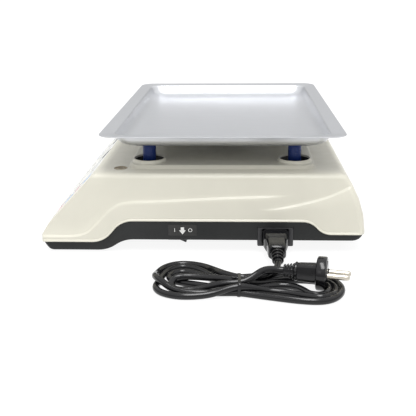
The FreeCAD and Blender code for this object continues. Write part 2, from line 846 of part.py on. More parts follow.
PLUG_FACE = Vector(252.5, 109, 14.5)
PLUG_HEADING = 12
PLUG_BACK = Vector(-math.sin(math.radians(PLUG_HEADING)), -math.cos(math.radians(PLUG_HEADING)), 0)
PLUG_LONG = 37


def along_plug(obj):
    """Lay a piece drawn along Z on the plug's axis, Z running from the pin face to the lead."""
    turn = FreeCAD.Rotation(Vector(0, 0, 1), PLUG_BACK)
    obj.Placement = FreeCAD.Placement(PLUG_FACE, turn)
    return obj


def mains_plug():
    """Round-headed plug with two round pins, its boot towards the lead."""
    disc = cylinder(S.plug_radius, S.plug_disc, (0, 0, 0))
    trunk = cone(8.3, 7.6, 17, (0, 0, S.plug_disc - 0.5))
    collar = cylinder(8.2, 2, (0, 0, 25))
    boot = cone(6.6, 5, PLUG_LONG - 26.5, (0, 0, 26.5))
    node("plug_body", along_plug(fuse([disc, trunk, collar, boot])))
    pins = []
    for x in (-9.5, 9.5):
        rod = cylinder(2.4, 17, (x, 0, -17))
        pins.append(fuse([rod, cone(1.2, 2.4, 2, (x, 0, -19))]))
    node("plug_pins", along_plug(group(pins)))


# The lead leaves the boot outwards, turns left over the hank's back arm and dives into its waist.
LEAD_FROM_CONNECTOR = [
    Vector(222.0, 69.6, 11.8),
    Vector(231.5, 68.4, 10.0),
    Vector(239.8, 62.4, 9.3),
    Vector(245.2, 53.2, 9.3),
    Vector(247.9, 42.8, 9.3),
]
# The plug's end leaves the plug's boot level, and sags into the waist beside the other end.
LEAD_TO_PLUG = [
    PLUG_FACE + PLUG_BACK * PLUG_LONG,
    Vector(243.9, 66.0, 14.9),
    Vector(244.8, 59.0, 16.4),
    Vector(248.6, 51.4, 16.2),
    Vector(253.2, 45.6, 13.6),
    Vector(256.8, 40.2, 10.2),
]


def tube(name, route):
    """A round lead along straight runs joined by tangent arcs."""
    edges = []
    start = route[0]
    for before, corner, after in zip(route, route[1:], route[2:]):
        way_in = (corner - before).normalize()
        way_out = (after - corner).normalize()
        turn = way_in.getAngle(way_out)
        shorter = min((corner - before).Length, (after - corner).Length)
        radius = 0.45 * shorter / math.tan(turn / 2)
        print(f"{name}: radius {radius:.1f} mm, turn {math.degrees(turn):.0f} degrees")
        reach = 0.45 * shorter
        a = corner - way_in * reach
        b = corner + way_out * reach
        inward = (way_out - way_in).normalize()
        sink = radius / math.cos(turn / 2) - radius
        edges.append(Part.LineSegment(start, a).toShape())
        edges.append(Part.Arc(a, corner + inward * sink, b).toShape())
        start = b
    edges.append(Part.LineSegment(start, route[-1]).toShape())
    path = Part.Wire(edges)
    radius = S.lead_diameter.value / 2
    ring = Part.Wire(Part.makeCircle(radius, route[0], route[1] - route[0]))
    solid = path.makePipeShell([ring], True, False)
    expected = math.pi * radius * radius * path.Length
    print(f"{name}: length {path.Length:.1f} mm, volume {solid.Volume / expected:.4f} of section x length")
    piece = doc.addObject("Part::Feature", "Lead")
    piece.Shape = solid
    node(name, piece)


HANK_LOW = 0.8
HANK_FLAT = 6.1
HANK_TALL = 12.4
TIE_Y = 35.5
LEFT_LOBE = [
    (247, 35.5), (237, 17), (216, 2), (203, -14), (206, -31), (224, -40), (244, -43),
    (263, -40), (278, -28), (284.5, -9), (279, 12), (270.5, 35.5),
]
RIGHT_LOBE = [
    (247, 35.5), (234, 52), (226, 70), (227, 92), (232, 112), (243, 126), (258, 128.5),
    (274, 124), (287, 110), (288.5, 92), (281, 64), (270.5, 35.5),
]


def lobe(corners, tall):
    """A slab of a lobe's outline: a smooth closed curve through its corners."""
    curve = Part.BSplineCurve()
    curve.interpolate(Points=[Vector(x, y, HANK_LOW) for x, y in corners], PeriodicFlag=True)
    face = Part.Face(Part.Wire(curve.toShape()))
    return face.extrude(Vector(0, 0, tall - HANK_LOW))


def lead_hank():
    """The folded lead: a two-layer left lobe and waist, and a flat right lobe round the plug's disc."""
    waist = Part.makeBox(23.5, 15, HANK_TALL - HANK_LOW, Vector(247, 28, HANK_LOW))
    solid = lobe(LEFT_LOBE, HANK_TALL).fuse(lobe(RIGHT_LOBE, HANK_FLAT)).fuse(waist)
    around_disc = Part.makeBox(29, 13, 30, Vector(-14.5, -6.5, -10))
    middle = PLUG_FACE + PLUG_BACK * (S.plug_disc.value / 2)
    turn = FreeCAD.Rotation(Vector(0, 0, 1), -PLUG_HEADING)
    around_disc.Placement = FreeCAD.Placement(Vector(middle.x, middle.y, 0), turn)
    piece = doc.addObject("Part::Feature", "Hank")
    piece.Shape = solid.cut(around_disc).removeSplitter()
    node("lead_hank", piece)
    outer = box((25.1, 2, HANK_TALL + 0.8), (246.2, TIE_Y - 1, 0))
    inner = box((23.7, 4, HANK_TALL - HANK_LOW + 0.1), (246.9, TIE_Y - 2, HANK_LOW - 0.05))
    node("lead_tie", cut(outer, [inner]))


# ---------------------------------------------------------------- build, check and write

upper_housing()
base_tray()
housing_screws()
foot_nuts()
levelling_feet()
keypad_bezel()
keys()
displays()
bubble_level()
load_cell()
platform()
posts()
weighing_pan()
electrics()
power_switch()
mains_inlet()
lead_connector()
mains_plug()
tube("lead_from_connector", LEAD_FROM_CONNECTOR)
tube("lead_to_plug", LEAD_TO_PLUG)
lead_hank()
doc.recompute()

for obj in doc.Objects:
    if "Invalid" in obj.State or "Error" in obj.State:
        raise RuntimeError(f"{obj.Name} ({obj.Label}) failed: {obj.State}")
for name, obj in nodes.items():
    if obj.Shape.isNull() or not obj.Shape.isValid() or not obj.Shape.Solids:
        raise RuntimeError(f"{name} has no valid solid")
os.makedirs("parts", exist_ok=True)
for name, obj in nodes.items():
    obj.Shape.exportStep(f"parts/{name}.step")
print(f"{len(nodes)} sub-parts")
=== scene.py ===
import math

import bmesh
import bpy
from mathutils import Matrix, Vector


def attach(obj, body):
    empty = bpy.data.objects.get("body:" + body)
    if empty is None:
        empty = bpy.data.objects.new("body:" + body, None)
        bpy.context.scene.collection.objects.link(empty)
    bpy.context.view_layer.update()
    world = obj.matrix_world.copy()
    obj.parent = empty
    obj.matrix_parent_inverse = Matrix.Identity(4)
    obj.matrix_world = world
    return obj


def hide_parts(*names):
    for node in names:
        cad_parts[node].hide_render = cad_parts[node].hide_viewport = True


# A counter-top price scale: ivory housing on a dark tray, a pressed steel pan on four posts, a keypad on
# the front slope, and a mains lead folded into a tied hank. Shapes are worked out in millimetres and
# stored in metres.

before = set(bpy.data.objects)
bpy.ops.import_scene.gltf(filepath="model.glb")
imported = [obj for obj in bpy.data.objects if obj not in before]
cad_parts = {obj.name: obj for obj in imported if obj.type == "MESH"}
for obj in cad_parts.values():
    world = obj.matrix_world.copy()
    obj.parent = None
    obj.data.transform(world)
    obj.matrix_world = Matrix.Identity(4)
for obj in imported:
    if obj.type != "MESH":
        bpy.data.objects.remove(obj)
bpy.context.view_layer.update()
MM = 0.001

# ---------------------------------------------------------------- camera and studio

CAMERA_SPOT = (807.5, 34.8, 252.5)
CAMERA_DOWN = math.radians(18.0)
CAMERA_YAW = math.radians(2.58)
CAMERA_ROLL = math.radians(0.55)
CAMERA_LENS = 62.0


def make_camera():
    """A long-lens camera beside the scale, looking along -X and a little down."""
    ahead = Vector((-math.cos(CAMERA_YAW), -math.sin(CAMERA_YAW), -math.tan(CAMERA_DOWN))).normalized()
    right = ahead.cross(Vector((0, 0, 1))).normalized()
    up = right.cross(ahead)
    turned_right = right * math.cos(CAMERA_ROLL) - up * math.sin(CAMERA_ROLL)
    turned_up = up * math.cos(CAMERA_ROLL) + right * math.sin(CAMERA_ROLL)
    data = bpy.data.cameras.new("camera")
    data.lens = CAMERA_LENS
    data.sensor_width = 36
    camera = bpy.data.objects.new("camera", data)
    turn = Matrix((turned_right, turned_up, -ahead)).transposed().to_4x4()
    camera.matrix_world = Matrix.Translation(Vector(CAMERA_SPOT) * MM) @ turn
    bpy.context.scene.collection.objects.link(camera)
    bpy.context.scene.camera = camera


def make_world():
    """A white studio: brighter overhead than at the horizon."""
    world = bpy.data.worlds.new("studio")
    world.use_nodes = True
    bpy.context.scene.world = world
    tree = world.node_tree
    coords = tree.nodes.new("ShaderNodeTexCoord")
    split = tree.nodes.new("ShaderNodeSeparateXYZ")
    ramp = tree.nodes.new("ShaderNodeMapRange")
    ramp.inputs["From Min"].default_value = 0.0
    ramp.inputs["From Max"].default_value = 0.65
    ramp.inputs["To Min"].default_value = 0.34
    ramp.inputs["To Max"].default_value = 1.15
    tree.links.new(coords.outputs["Generated"], split.inputs[0])
    tree.links.new(split.outputs["Z"], ramp.inputs["Value"])
    tree.links.new(ramp.outputs[0], tree.nodes["Background"].inputs["Strength"])
    tree.nodes["Background"].inputs["Color"].default_value = (1, 1, 1, 1)


def area_light(name, spot, aim, size, power):
    data = bpy.data.lights.new(name, "AREA")
    data.shape = "RECTANGLE"
    data.size, data.size_y = size
    data.energy = power
    lamp = bpy.data.objects.new(name, data)
    lamp.location = spot
    lamp.rotation_euler = (Vector(aim) - Vector(spot)).to_track_quat("-Z", "Y").to_euler()
    bpy.context.scene.collection.objects.link(lamp)


def make_floor(material):
    mesh = bpy.data.meshes.new("floor")
    far = 40
    mesh.from_pydata([(-far, -far, 0), (far, -far, 0), (far, far, 0), (-far, far, 0)], [], [(0, 1, 2, 3)])
    mesh.materials.append(material)
    floor = bpy.data.objects.new("floor", mesh)
    floor.location.z = -0.0002
    bpy.context.scene.collection.objects.link(floor)


# ---------------------------------------------------------------- materials


class Finish:
    """A Principled material under construction, with noise in the object's own coordinates."""

    def __init__(self, name, colour, roughness, metallic=0.0):
        self.material = bpy.data.materials.new(name)
        self.material.use_nodes = True
        self.tree = self.material.node_tree
        self.shader = self.tree.nodes["Principled BSDF"]
        self.shader.inputs["Base Color"].default_value = (*colour, 1)
        self.shader.inputs["Roughness"].default_value = roughness
        self.shader.inputs["Metallic"].default_value = metallic
        self.coords = self.tree.nodes.new("ShaderNodeTexCoord").outputs["Object"]
        self.colour = colour
        self.roughness = roughness
        self.normal = None

    def link(self, a, b):
        self.tree.links.new(a, b)

    def noise(self, scale, detail=4.0, stretch=(1, 1, 1)):
        mapping = self.tree.nodes.new("ShaderNodeMapping")
        mapping.inputs["Scale"].default_value = stretch
        noise = self.tree.nodes.new("ShaderNodeTexNoise")
        noise.inputs["Scale"].default_value = scale
        noise.inputs["Detail"].default_value = detail
        self.link(self.coords, mapping.inputs["Vector"])
        self.link(mapping.outputs[0], noise.inputs["Vector"])
        return noise.outputs["Fac"]

    def levels(self, value, low, high, to_low, to_high):
        level = self.tree.nodes.new("ShaderNodeMapRange")
        for socket, number in zip(("From Min", "From Max", "To Min", "To Max"), (low, high, to_low, to_high)):
            level.inputs[socket].default_value = number
        self.link(value, level.inputs["Value"])
        return level.outputs[0]

    def mix(self, share, a, b):
        node = self.tree.nodes.new("ShaderNodeMix")
        node.data_type = "RGBA"
        self.link(share, node.inputs["Factor"])
        for socket, colour in ((node.inputs[6], a), (node.inputs[7], b)):
            if isinstance(colour, tuple):
                socket.default_value = (*colour, 1)
            else:
                self.link(colour, socket)
        return node.outputs[2]

    def math(self, operation, a, b):
        node = self.tree.nodes.new("ShaderNodeMath")
        node.operation = operation
        for socket, value in zip(node.inputs, (a, b)):
            if isinstance(value, (int, float)):
                socket.default_value = value
            else:
                self.link(value, socket)
        return node.outputs[0]

    def mottled(self, scale, spread):
        """Slight drift of the colour over the piece."""
        dark = tuple(c * (1 - spread) for c in self.colour)
        light = tuple(min(1, c * (1 + spread)) for c in self.colour)
        share = self.levels(self.noise(scale, 3.0), 0.35, 0.65, 0, 1)
        self.paint(self.mix(share, dark, light))
        return self

    def paint(self, colour):
        self.link(colour, self.shader.inputs["Base Color"])
        self.painted = colour
        return self

    def uneven_gloss(self, scale, spread, stretch=(1, 1, 1)):
        share = self.noise(scale, 5.0, stretch)
        low = max(0.02, self.roughness - spread)
        self.link(self.levels(share, 0.3, 0.7, low, self.roughness + spread), self.shader.inputs["Roughness"])
        return self

    def bump(self, height, distance, strength=1.0):
        node = self.tree.nodes.new("ShaderNodeBump")
        node.inputs["Strength"].default_value = strength
        node.inputs["Distance"].default_value = distance
        self.link(height, node.inputs["Height"])
        if self.normal is not None:
            self.link(self.normal, node.inputs["Normal"])
        self.normal = node.outputs[0]
        self.link(self.normal, self.shader.inputs["Normal"])
        return self

    def set(self, **values):
        for name, value in values.items():
            self.shader.inputs[name.replace("_", " ")].default_value = value
        return self


def moulded(name, colour, roughness, grain, depth, drift=0.02, sheen=0.5, wave=0.00012):
    """Moulded plastic or rubber: a fine spark-eroded grain, drifting gloss and a faint waviness."""
    finish = Finish(name, colour, roughness)
    finish.mottled(38, drift)
    finish.uneven_gloss(90, 0.07)
    finish.bump(finish.noise(grain, 2.0), depth)
    finish.bump(finish.noise(14, 2.0), wave, 0.35)
    finish.set(Specular_IOR_Level=sheen)
    return finish


def brushed(name, colour, roughness, along, spread=0.05):
    """Drawn or brushed metal, its fine lines running along one axis."""
    stretch = tuple(0.02 if axis == along else 1.0 for axis in "XYZ")
    finish = Finish(name, colour, roughness, 1.0)
    lines = finish.noise(1500, 3.0, stretch)
    shade = finish.levels(lines, 0.3, 0.7, 0, 1)
    dark = tuple(c * (1 - spread) for c in colour)
    finish.paint(finish.mix(shade, dark, colour))
    finish.uneven_gloss(1100, 0.03, stretch)
    finish.bump(lines, 0.000002, 0.5)
    return finish


def band(finish, value, middle, half, soft=0.0002):
    """1 where value is within half of middle, 0 elsewhere."""
    away = finish.math("ABSOLUTE", finish.math("SUBTRACT", value, middle), 0)
    return finish.levels(away, half, half + soft, 1, 0)


def axis_of(finish, axis):
    split = finish.tree.nodes.new("ShaderNodeSeparateXYZ")
    finish.link(finish.coords, split.inputs[0])
    return split.outputs[axis]


def overlay_material():
    """The keypad's printed film: white, with pale blue and red fields behind the key groups."""
    finish = Finish("keypad_film", (0.74, 0.75, 0.74), 0.34)
    finish.uneven_gloss(120, 0.06)
    across = axis_of(finish, "X")
    height = axis_of(finish, "Z")
    fields = [
        (-0.082, 0.0335, 0.0405, 0.0030, (0.16, 0.33, 0.66)),
        (0.015, 0.0445, 0.0230, 0.0016, (0.42, 0.55, 0.72)),
        (0.123, 0.0080, 0.0600, 0.0045, (0.10, 0.32, 0.70)),
        (0.122, 0.0080, 0.0490, 0.0025, (0.70, 0.20, 0.26)),
        (0.124, 0.0080, 0.0400, 0.0045, (0.10, 0.32, 0.70)),
        (0.123, 0.0080, 0.0300, 0.0030, (0.70, 0.20, 0.26)),
    ]
    colour = (0.74, 0.75, 0.74)
    for x, half_x, z, half_z, ink in fields:
        inside = finish.math("MULTIPLY", band(finish, across, x, half_x), band(finish, height, z, half_z))
        colour = finish.mix(inside, colour, ink)
    finish.paint(colour)
    finish.bump(finish.noise(2600, 2.0), 0.00001, 0.6)
    return finish.material


def board_material():
    """Green solder mask with copper tracks showing as slightly raised lines."""
    finish = Finish("circuit_board", (0.03, 0.16, 0.06), 0.35)
    mapping = finish.tree.nodes.new("ShaderNodeMapping")
    brick = finish.tree.nodes.new("ShaderNodeTexBrick")
    brick.inputs["Scale"].default_value = 130
    brick.inputs["Mortar Size"].default_value = 0.04
    brick.inputs["Color1"].default_value = (0, 0, 0, 1)
    brick.inputs["Color2"].default_value = (0, 0, 0, 1)
    brick.inputs["Mortar"].default_value = (1, 1, 1, 1)
    finish.link(finish.coords, mapping.inputs["Vector"])
    finish.link(mapping.outputs[0], brick.inputs["Vector"])
    finish.paint(finish.mix(brick.outputs["Color"], (0.03, 0.15, 0.06), (0.10, 0.30, 0.12)))
    finish.bump(brick.outputs["Color"], 0.00004, 0.8)
    finish.uneven_gloss(200, 0.08)
    return finish.material


def glass_material(name, colour, roughness):
    """Tinted window in front of a display."""
    finish = Finish(name, colour, roughness)
    finish.uneven_gloss(60, 0.03)
    finish.bump(finish.noise(25, 2.0), 0.00003, 0.4)
    finish.set(Coat_Weight=0.8, Coat_Roughness=0.03, IOR=1.49)
    return finish.material


# Moulded finishes: colour, roughness, grain scale, grain depth, and then drift, sheen and waviness.
MOULDED = {
    "ivory_plastic": ((0.640, 0.622, 0.535), 0.36, 1600, 0.00002, 0.012),
    "tray_plastic": ((0.019, 0.020, 0.020), 0.50, 1300, 0.00003, 0.06, 0.3),
    "dark_plastic": ((0.030, 0.030, 0.032), 0.42, 1500, 0.00003, 0.05),
    "black_plastic": ((0.012, 0.012, 0.013), 0.5, 1500, 0.00003, 0.05),
    "lead_rubber": ((0.005, 0.005, 0.006), 0.16, 900, 0.000002, 0.08, 0.42, 0.00001),
    "foot_rubber": ((0.030, 0.030, 0.031), 0.72, 900, 0.00008, 0.08),
    "post_plastic": ((0.008, 0.024, 0.125), 0.28, 1200, 0.00001, 0.05, 0.25),
    "vial_plastic": ((0.27, 0.22, 0.13), 0.22, 900, 0.00001, 0.04),
    "battery_case": ((0.10, 0.105, 0.11), 0.45, 900, 0.00005, 0.05),
    "label_paper": ((0.034, 0.034, 0.033), 0.45, 700, 0.00002, 0.04, 0.3),
    "key_white": ((0.72, 0.72, 0.69), 0.33, 1500, 0.00002, 0.012),
    "key_blue": ((0.06, 0.18, 0.50), 0.33, 1500, 0.00002, 0.03),
    "key_red": ((0.55, 0.05, 0.05), 0.33, 1500, 0.00002, 0.03),
    "ink_white": ((0.75, 0.75, 0.73), 0.5, 1200, 0.00001, 0.02),
    "ink_dark": ((0.03, 0.03, 0.04), 0.5, 1200, 0.00001, 0.02),
}
# Drawn or brushed metals: colour, roughness, the axis of the lines, and how dark the lines are.
BRUSHED = {
    "pan_steel": ((0.63, 0.642, 0.665), 0.37, "Y"),
    "cell_aluminium": ((0.66, 0.66, 0.67), 0.32, "Y"),
    "fastener_steel": ((0.50, 0.50, 0.51), 0.30, "X"),
    "contact_nickel": ((0.62, 0.58, 0.50), 0.34, "Y", 0.04),
    "transformer_steel": ((0.32, 0.31, 0.30), 0.45, "X", 0.25),
    "nut_brass": ((0.60, 0.42, 0.16), 0.30, "Z"),
}


def make_materials():
    made = {name: moulded(name, *values) for name, values in MOULDED.items()}
    made.update({name: brushed(name, *values) for name, values in BRUSHED.items()})
    cast = Finish("cast_frame", (0.34, 0.345, 0.35), 0.5, 0.9)
    cast.mottled(60, 0.08).uneven_gloss(300, 0.12).bump(cast.noise(700, 4.0), 0.00015, 0.6)
    made["cast_frame"] = cast
    made = {name: finish.material for name, finish in made.items()}
    made["panel_plastic"] = overlay_material()
    made["circuit_board"] = board_material()
    made["window"] = glass_material("window", (0.035, 0.045, 0.04), 0.12)
    floor = Finish("studio_floor", (0.14, 0.14, 0.14), 0.9)
    floor.bump(floor.noise(30, 2.0), 0.0001, 0.1)
    floor.set(Emission_Color=(1, 1, 1, 1), Emission_Strength=0.90)
    made["studio_floor"] = floor.material
    return made


MATERIALS = make_materials()

# ---------------------------------------------------------------- mesh tools


def piece_from(name, points, faces, material):
    """An object from points in millimetres."""
    mesh = bpy.data.meshes.new(name)
    mesh.from_pydata([Vector(p) * MM for p in points], [], faces)
    mesh.materials.append(MATERIALS[material])
    tidy = bmesh.new()
    tidy.from_mesh(mesh)
    bmesh.ops.remove_doubles(tidy, verts=tidy.verts, dist=1e-7)
    bmesh.ops.recalc_face_normals(tidy, faces=tidy.faces)
    tidy.to_mesh(mesh)
    tidy.free()
    piece = bpy.data.objects.new(name, mesh)
    bpy.context.scene.collection.objects.link(piece)
    return piece


def shade(piece, angle=35):
    piece.data.shade_smooth()
    piece.data.set_sharp_from_angle(angle=math.radians(angle))
    return piece


def moved(piece, matrix):
    piece.data.transform(matrix)
    return piece


def finish_piece(piece, body, replaced=(), angle=35):
    """Smooth a piece, give it its body, and hide the CAD nodes that it stands for."""
    shade(piece, angle)
    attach(piece, body)
    if replaced:
        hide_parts(*replaced)
    return piece


def merged(name, pieces):
    """One object from several, keeping their materials."""
    mesh = bpy.data.meshes.new(name)
    whole = bmesh.new()
    for piece in pieces:
        slots = []
        for material in piece.data.materials:
            if material.name not in mesh.materials:
                mesh.materials.append(material)
            slots.append(list(mesh.materials).index(material))
        part = bmesh.new()
        part.from_mesh(piece.data)
        for face in part.faces:
            face.material_index = slots[face.material_index]
        part.to_mesh(piece.data)
        part.free()
        whole.from_mesh(piece.data)
        bpy.data.objects.remove(piece)
    whole.to_mesh(mesh)
    whole.free()
    piece = bpy.data.objects.new(name, mesh)
    bpy.context.scene.collection.objects.link(piece)
    return piece


def loft(name, rings, material, close_start=True, close_end=True):
    """A skin over rings that have the same number of points."""
    count = len(rings[0])
    points = [p for ring in rings for p in ring]
    faces = []
    for row in range(len(rings) - 1):
        for k in range(count):
            after = (k + 1) % count
            a, b = row * count + k, row * count + after
            faces.append((a, b, b + count, a + count))
    if close_start:
        faces.append(tuple(reversed(range(count))))
    if close_end:
        faces.append(tuple(range(len(points) - count, len(points))))
    return piece_from(name, points, faces, material)


def oblong(half_u, half_v, radius, steps=6):
    """A rounded rectangle about the origin, as (u, v) points."""
    radius = max(0.02, min(radius, half_u - 0.01, half_v - 0.01))
    points = []
    for quarter, (su, sv) in enumerate(((1, 1), (-1, 1), (-1, -1), (1, -1))):
        for step in range(steps + 1):
            angle = math.radians(90 * (quarter + step / steps))
            u = su * (half_u - radius) + radius * math.cos(angle)
            v = sv * (half_v - radius) + radius * math.sin(angle)
            points.append((u, v))
    return points


def soft_block(name, half_u, half_v, low, high, corner, edge, material, steps=4):
    """A block along Z with rounded corners and rounded edges."""
    rings = []
    for base, sign in ((low, 1), (high, -1)):
        turns = range(steps + 1) if sign > 0 else range(steps, -1, -1)
        for turn in turns:
            angle = math.radians(90 * turn / steps)
            inset = edge * (1 - math.sin(angle))
            z = base + sign * edge * (1 - math.cos(angle))
            ring = oblong(half_u - inset, half_v - inset, corner - inset)
            rings.append([(u, v, z) for u, v in ring])
    return loft(name, rings, material)


def lathe(name, profile, material, steps=48, close=True):
    """A turned piece about Z from (radius, z) points."""
    rings = []
    for radius, z in profile:
        radius = max(radius, 0.005)
        ring = []
        for k in range(steps):
            angle = 2 * math.pi * k / steps
            ring.append((radius * math.cos(angle), radius * math.sin(angle), z))
        rings.append(ring)
    return loft(name, rings, material, close, close)


def hoop(name, profile, material, steps=48):
    """A turned ring about Z, its profile a closed outline."""
    points = []
    faces = []
    for k in range(steps):
        angle = 2 * math.pi * k / steps
        points += [(r * math.cos(angle), r * math.sin(angle), z) for r, z in profile]
    count = len(profile)
    for k in range(steps):
        ahead = (k + 1) % steps
        for m in range(count):
            up = (m + 1) % count
            faces.append((k * count + m, ahead * count + m, ahead * count + up, k * count + up))
    return piece_from(name, points, faces, material)


def trim(piece, operation, tools):
    """Cut tools out of a piece, or join them to it."""
    for tool in tools:
        modifier = piece.modifiers.new(operation, "BOOLEAN")
        modifier.operation = operation
        modifier.solver = "EXACT"
        modifier.object = tool
        graph = bpy.context.evaluated_depsgraph_get()
        mesh = bpy.data.meshes.new_from_object(piece.evaluated_get(graph))
        piece.modifiers.clear()
        piece.data = mesh
        bpy.data.objects.remove(tool)
    return piece


def curve_through(points):
    """A smooth function through (y, z) points."""
    ys = [p[0] for p in points]
    zs = [p[1] for p in points]
    slopes = []
    for k in range(len(points)):
        a, b = max(k - 1, 0), min(k + 1, len(points) - 1)
        slopes.append((zs[b] - zs[a]) / (ys[b] - ys[a]))

    def value(y):
        if y <= ys[0]:
            return zs[0]
        if y >= ys[-1]:
            return zs[-1] + slopes[-1] * (y - ys[-1])
        k = max(i for i in range(len(ys) - 1) if ys[i] <= y)
        run = ys[k + 1] - ys[k]
        s = (y - ys[k]) / run
        start = (1 + 2 * s) * (1 - s) ** 2 * zs[k] + s * (1 - s) ** 2 * run * slopes[k]
        return start + s * s * (3 - 2 * s) * zs[k + 1] + s * s * (s - 1) * run * slopes[k + 1]

    return value


def at(x, y, z=0.0):
    return Matrix.Translation(Vector((x, y, z)) * MM)


def smooth_step(value, low, high):
    share = min(1, max(0, (value - low) / (high - low)))
    return share * share * (3 - 2 * share)


# ---------------------------------------------------------------- side profile of the two shells

NOSE_Y, NOSE_Z = -154, 20.8
DECK_FRONT, DECK_Z = -103, 75
SLOPE_PER_Z = (DECK_FRONT - NOSE_Y) / (DECK_Z - NOSE_Z)
SLOPE_TURN = Matrix.Rotation(math.atan2(DECK_Z - NOSE_Z, DECK_FRONT - NOSE_Y), 4, "X")
SLOPE = Matrix.Translation(Vector((0, NOSE_Y, NOSE_Z)) * MM) @ SLOPE_TURN
KNEE_SOFT = 1.4
REAR_CENTRE = (64.2, 18.2)
REAR_RADIUS = 90
REAR_Y = 154
BODY_HALF, BODY_LEAN = 171.5, 0.14
TRAY_HALF = 168.5
TOP_ROUND = 4.5
HOUSING_CORNERS = (2.2, 6.0)
TRAY_CORNERS = (4.0, 8.0)
TRAY_FRONT, TRAY_REAR = -153.2, 153
SEAM_FRONT, SEAM_REAR = (-105, -66), (95, 122)
TOE_STEP = (-100, -66)
SEAM = {"front": 10.7, "high": 30.8, "rear": 18.8}
UNDER = {"toe": 1.4, "high": 12.2}


def s_step(y, start, end, low, high):
    """Two equal arcs that step from low to high between start and end."""
    run, rise = end - start, high - low
    share = (y - start) / run
    if share <= 0:
        return low
    if share >= 1:
        return high
    radius = (run * run + rise * rise) / (4 * abs(rise))
    away = (y - start) if share < 0.5 else (end - y)
    sag = math.copysign(radius - math.sqrt(radius * radius - away * away), rise)
    return low + sag if share < 0.5 else high - sag


def seam(y):
    """Height of the line between housing and tray."""
    if y < 0:
        return s_step(y, *SEAM_FRONT, SEAM["front"], SEAM["high"])
    return s_step(y, *SEAM_REAR, SEAM["high"], SEAM["rear"])


def under(y):
    """Height of the tray's underside."""
    return s_step(y, *TOE_STEP, UNDER["toe"], UNDER["high"])


def front_of(z):
    return NOSE_Y + SLOPE_PER_Z * KNEE_SOFT * math.log1p(math.exp((z - NOSE_Z) / KNEE_SOFT))


def rear_of(z):
    if z <= 24:
        return REAR_Y
    return REAR_CENTRE[0] + math.sqrt(REAR_RADIUS**2 - (z - REAR_CENTRE[1]) ** 2)


SIDE_STEPS, CORNER_STEPS, END_STEPS = 130, 8, 26


def plan_columns():
    """The columns of a shell's rings, anticlockwise from the right side's front: kind, side and share."""
    columns = [("side", 1, k / SIDE_STEPS) for k in range(SIDE_STEPS + 1)]
    columns += [("rear_corner", 1, k / CORNER_STEPS) for k in range(1, CORNER_STEPS)]
    columns += [("rear", 1, 1 - 2 * k / END_STEPS) for k in range(END_STEPS + 1)]
    columns += [("rear_corner", -1, 1 - k / CORNER_STEPS) for k in range(1, CORNER_STEPS)]
    columns += [("side", -1, 1 - k / SIDE_STEPS) for k in range(SIDE_STEPS + 1)]
    columns += [("front_corner", -1, k / CORNER_STEPS) for k in range(1, CORNER_STEPS)]
    columns += [("front", 1, 2 * k / END_STEPS - 1) for k in range(END_STEPS + 1)]
    columns += [("front_corner", 1, 1 - k / CORNER_STEPS) for k in range(1, CORNER_STEPS)]
    return columns


COLUMNS = plan_columns()


def on_plan(column, half, front, rear, front_corner, rear_corner, push=0.0):
    """Where a column meets a rounded rectangle, pushed out on its sides."""
    kind, side, share = column
    if kind == "side":
        low, high = front + front_corner, rear - rear_corner
        return side * (half + push), low + (high - low) * share
    if kind == "rear":
        return (half - rear_corner) * share, rear
    if kind == "front":
        return (half - front_corner) * share, front
    angle = math.radians(90 * share)
    reach = push * math.cos(angle) ** 2
    if kind == "rear_corner":
        x = half - rear_corner + (rear_corner + reach) * math.cos(angle)
        return side * x, rear - rear_corner + rear_corner * math.sin(angle)
    x = half - front_corner + (front_corner + reach) * math.cos(angle)
    return side * x, front + front_corner - front_corner * math.sin(angle)


def shell_ring(line, walls, push=None, inset=0.0):
    """A ring of a shell: line(y) is its height, walls(z) its half width, front, rear and two corners."""
    ring = []
    for column in COLUMNS:
        z = line(0)
        for _ in range(80):
            half, front, rear, front_corner, rear_corner = walls(z)
            sizes = (half - inset, front + inset, rear - inset)
            corners = (max(1.2, front_corner - inset), max(1.2, rear_corner - inset))
            y = on_plan(column, *sizes, *corners)[1]
            wanted = line(y)
            if abs(wanted - z) < 1e-5:
                break
            z += 0.75 * (wanted - z)
        out = push(y, z) if push else 0.0
        x, y = on_plan(column, *sizes, *corners, out)
        ring.append((x, y, z))
    return ring


# ---------------------------------------------------------------- upper housing

# The two styling lines of the side, along Y and up Z: below each the wall stands proud.
LINE_A = curve_through([
    (-148.8, 16.1), (-123.5, 16.3), (-113.1, 18.4), (-106.0, 22.8), (-92.8, 36.7), (-84.7, 43.6),
    (-77.8, 47.0), (-67.9, 48.9), (-46.5, 49.6), (31.4, 53.4), (77.1, 55.0), (90.0, 57.0),
])
LINE_B = curve_through([
    (40.0, 42.0), (62.7, 42.6), (77.2, 44.1), (91.8, 47.0), (109.5, 51.4), (123.4, 56.1), (139.0, 63.4),
])
RELIEF = 2.0
LINE_HALF = 1.15
LIP = 2.4


def line_b(y):
    """The lower styling line, carried forward between the seam and the upper line."""
    ahead = seam(y) + LIP + 0.42 * (LINE_A(y) - seam(y) - LIP)
    return ahead + (LINE_B(y) - ahead) * smooth_step(y, 20, 50) if y > 20 else ahead


def line_a(y):
    """The upper styling line, carried back between the lower line and the deck."""
    behind = line_b(y) + 0.45 * (DECK_Z - TOP_ROUND - line_b(y))
    return LINE_A(y) + (behind - LINE_A(y)) * smooth_step(y, 86, 120) if y > 86 else LINE_A(y)


def band_half(line, y):
    """Half height of a styling line's narrow bevel, taller where the line climbs."""
    climb = (line(y + 0.5) - line(y - 0.5)) / 1.0
    return LINE_HALF * math.sqrt(1 + climb * climb)


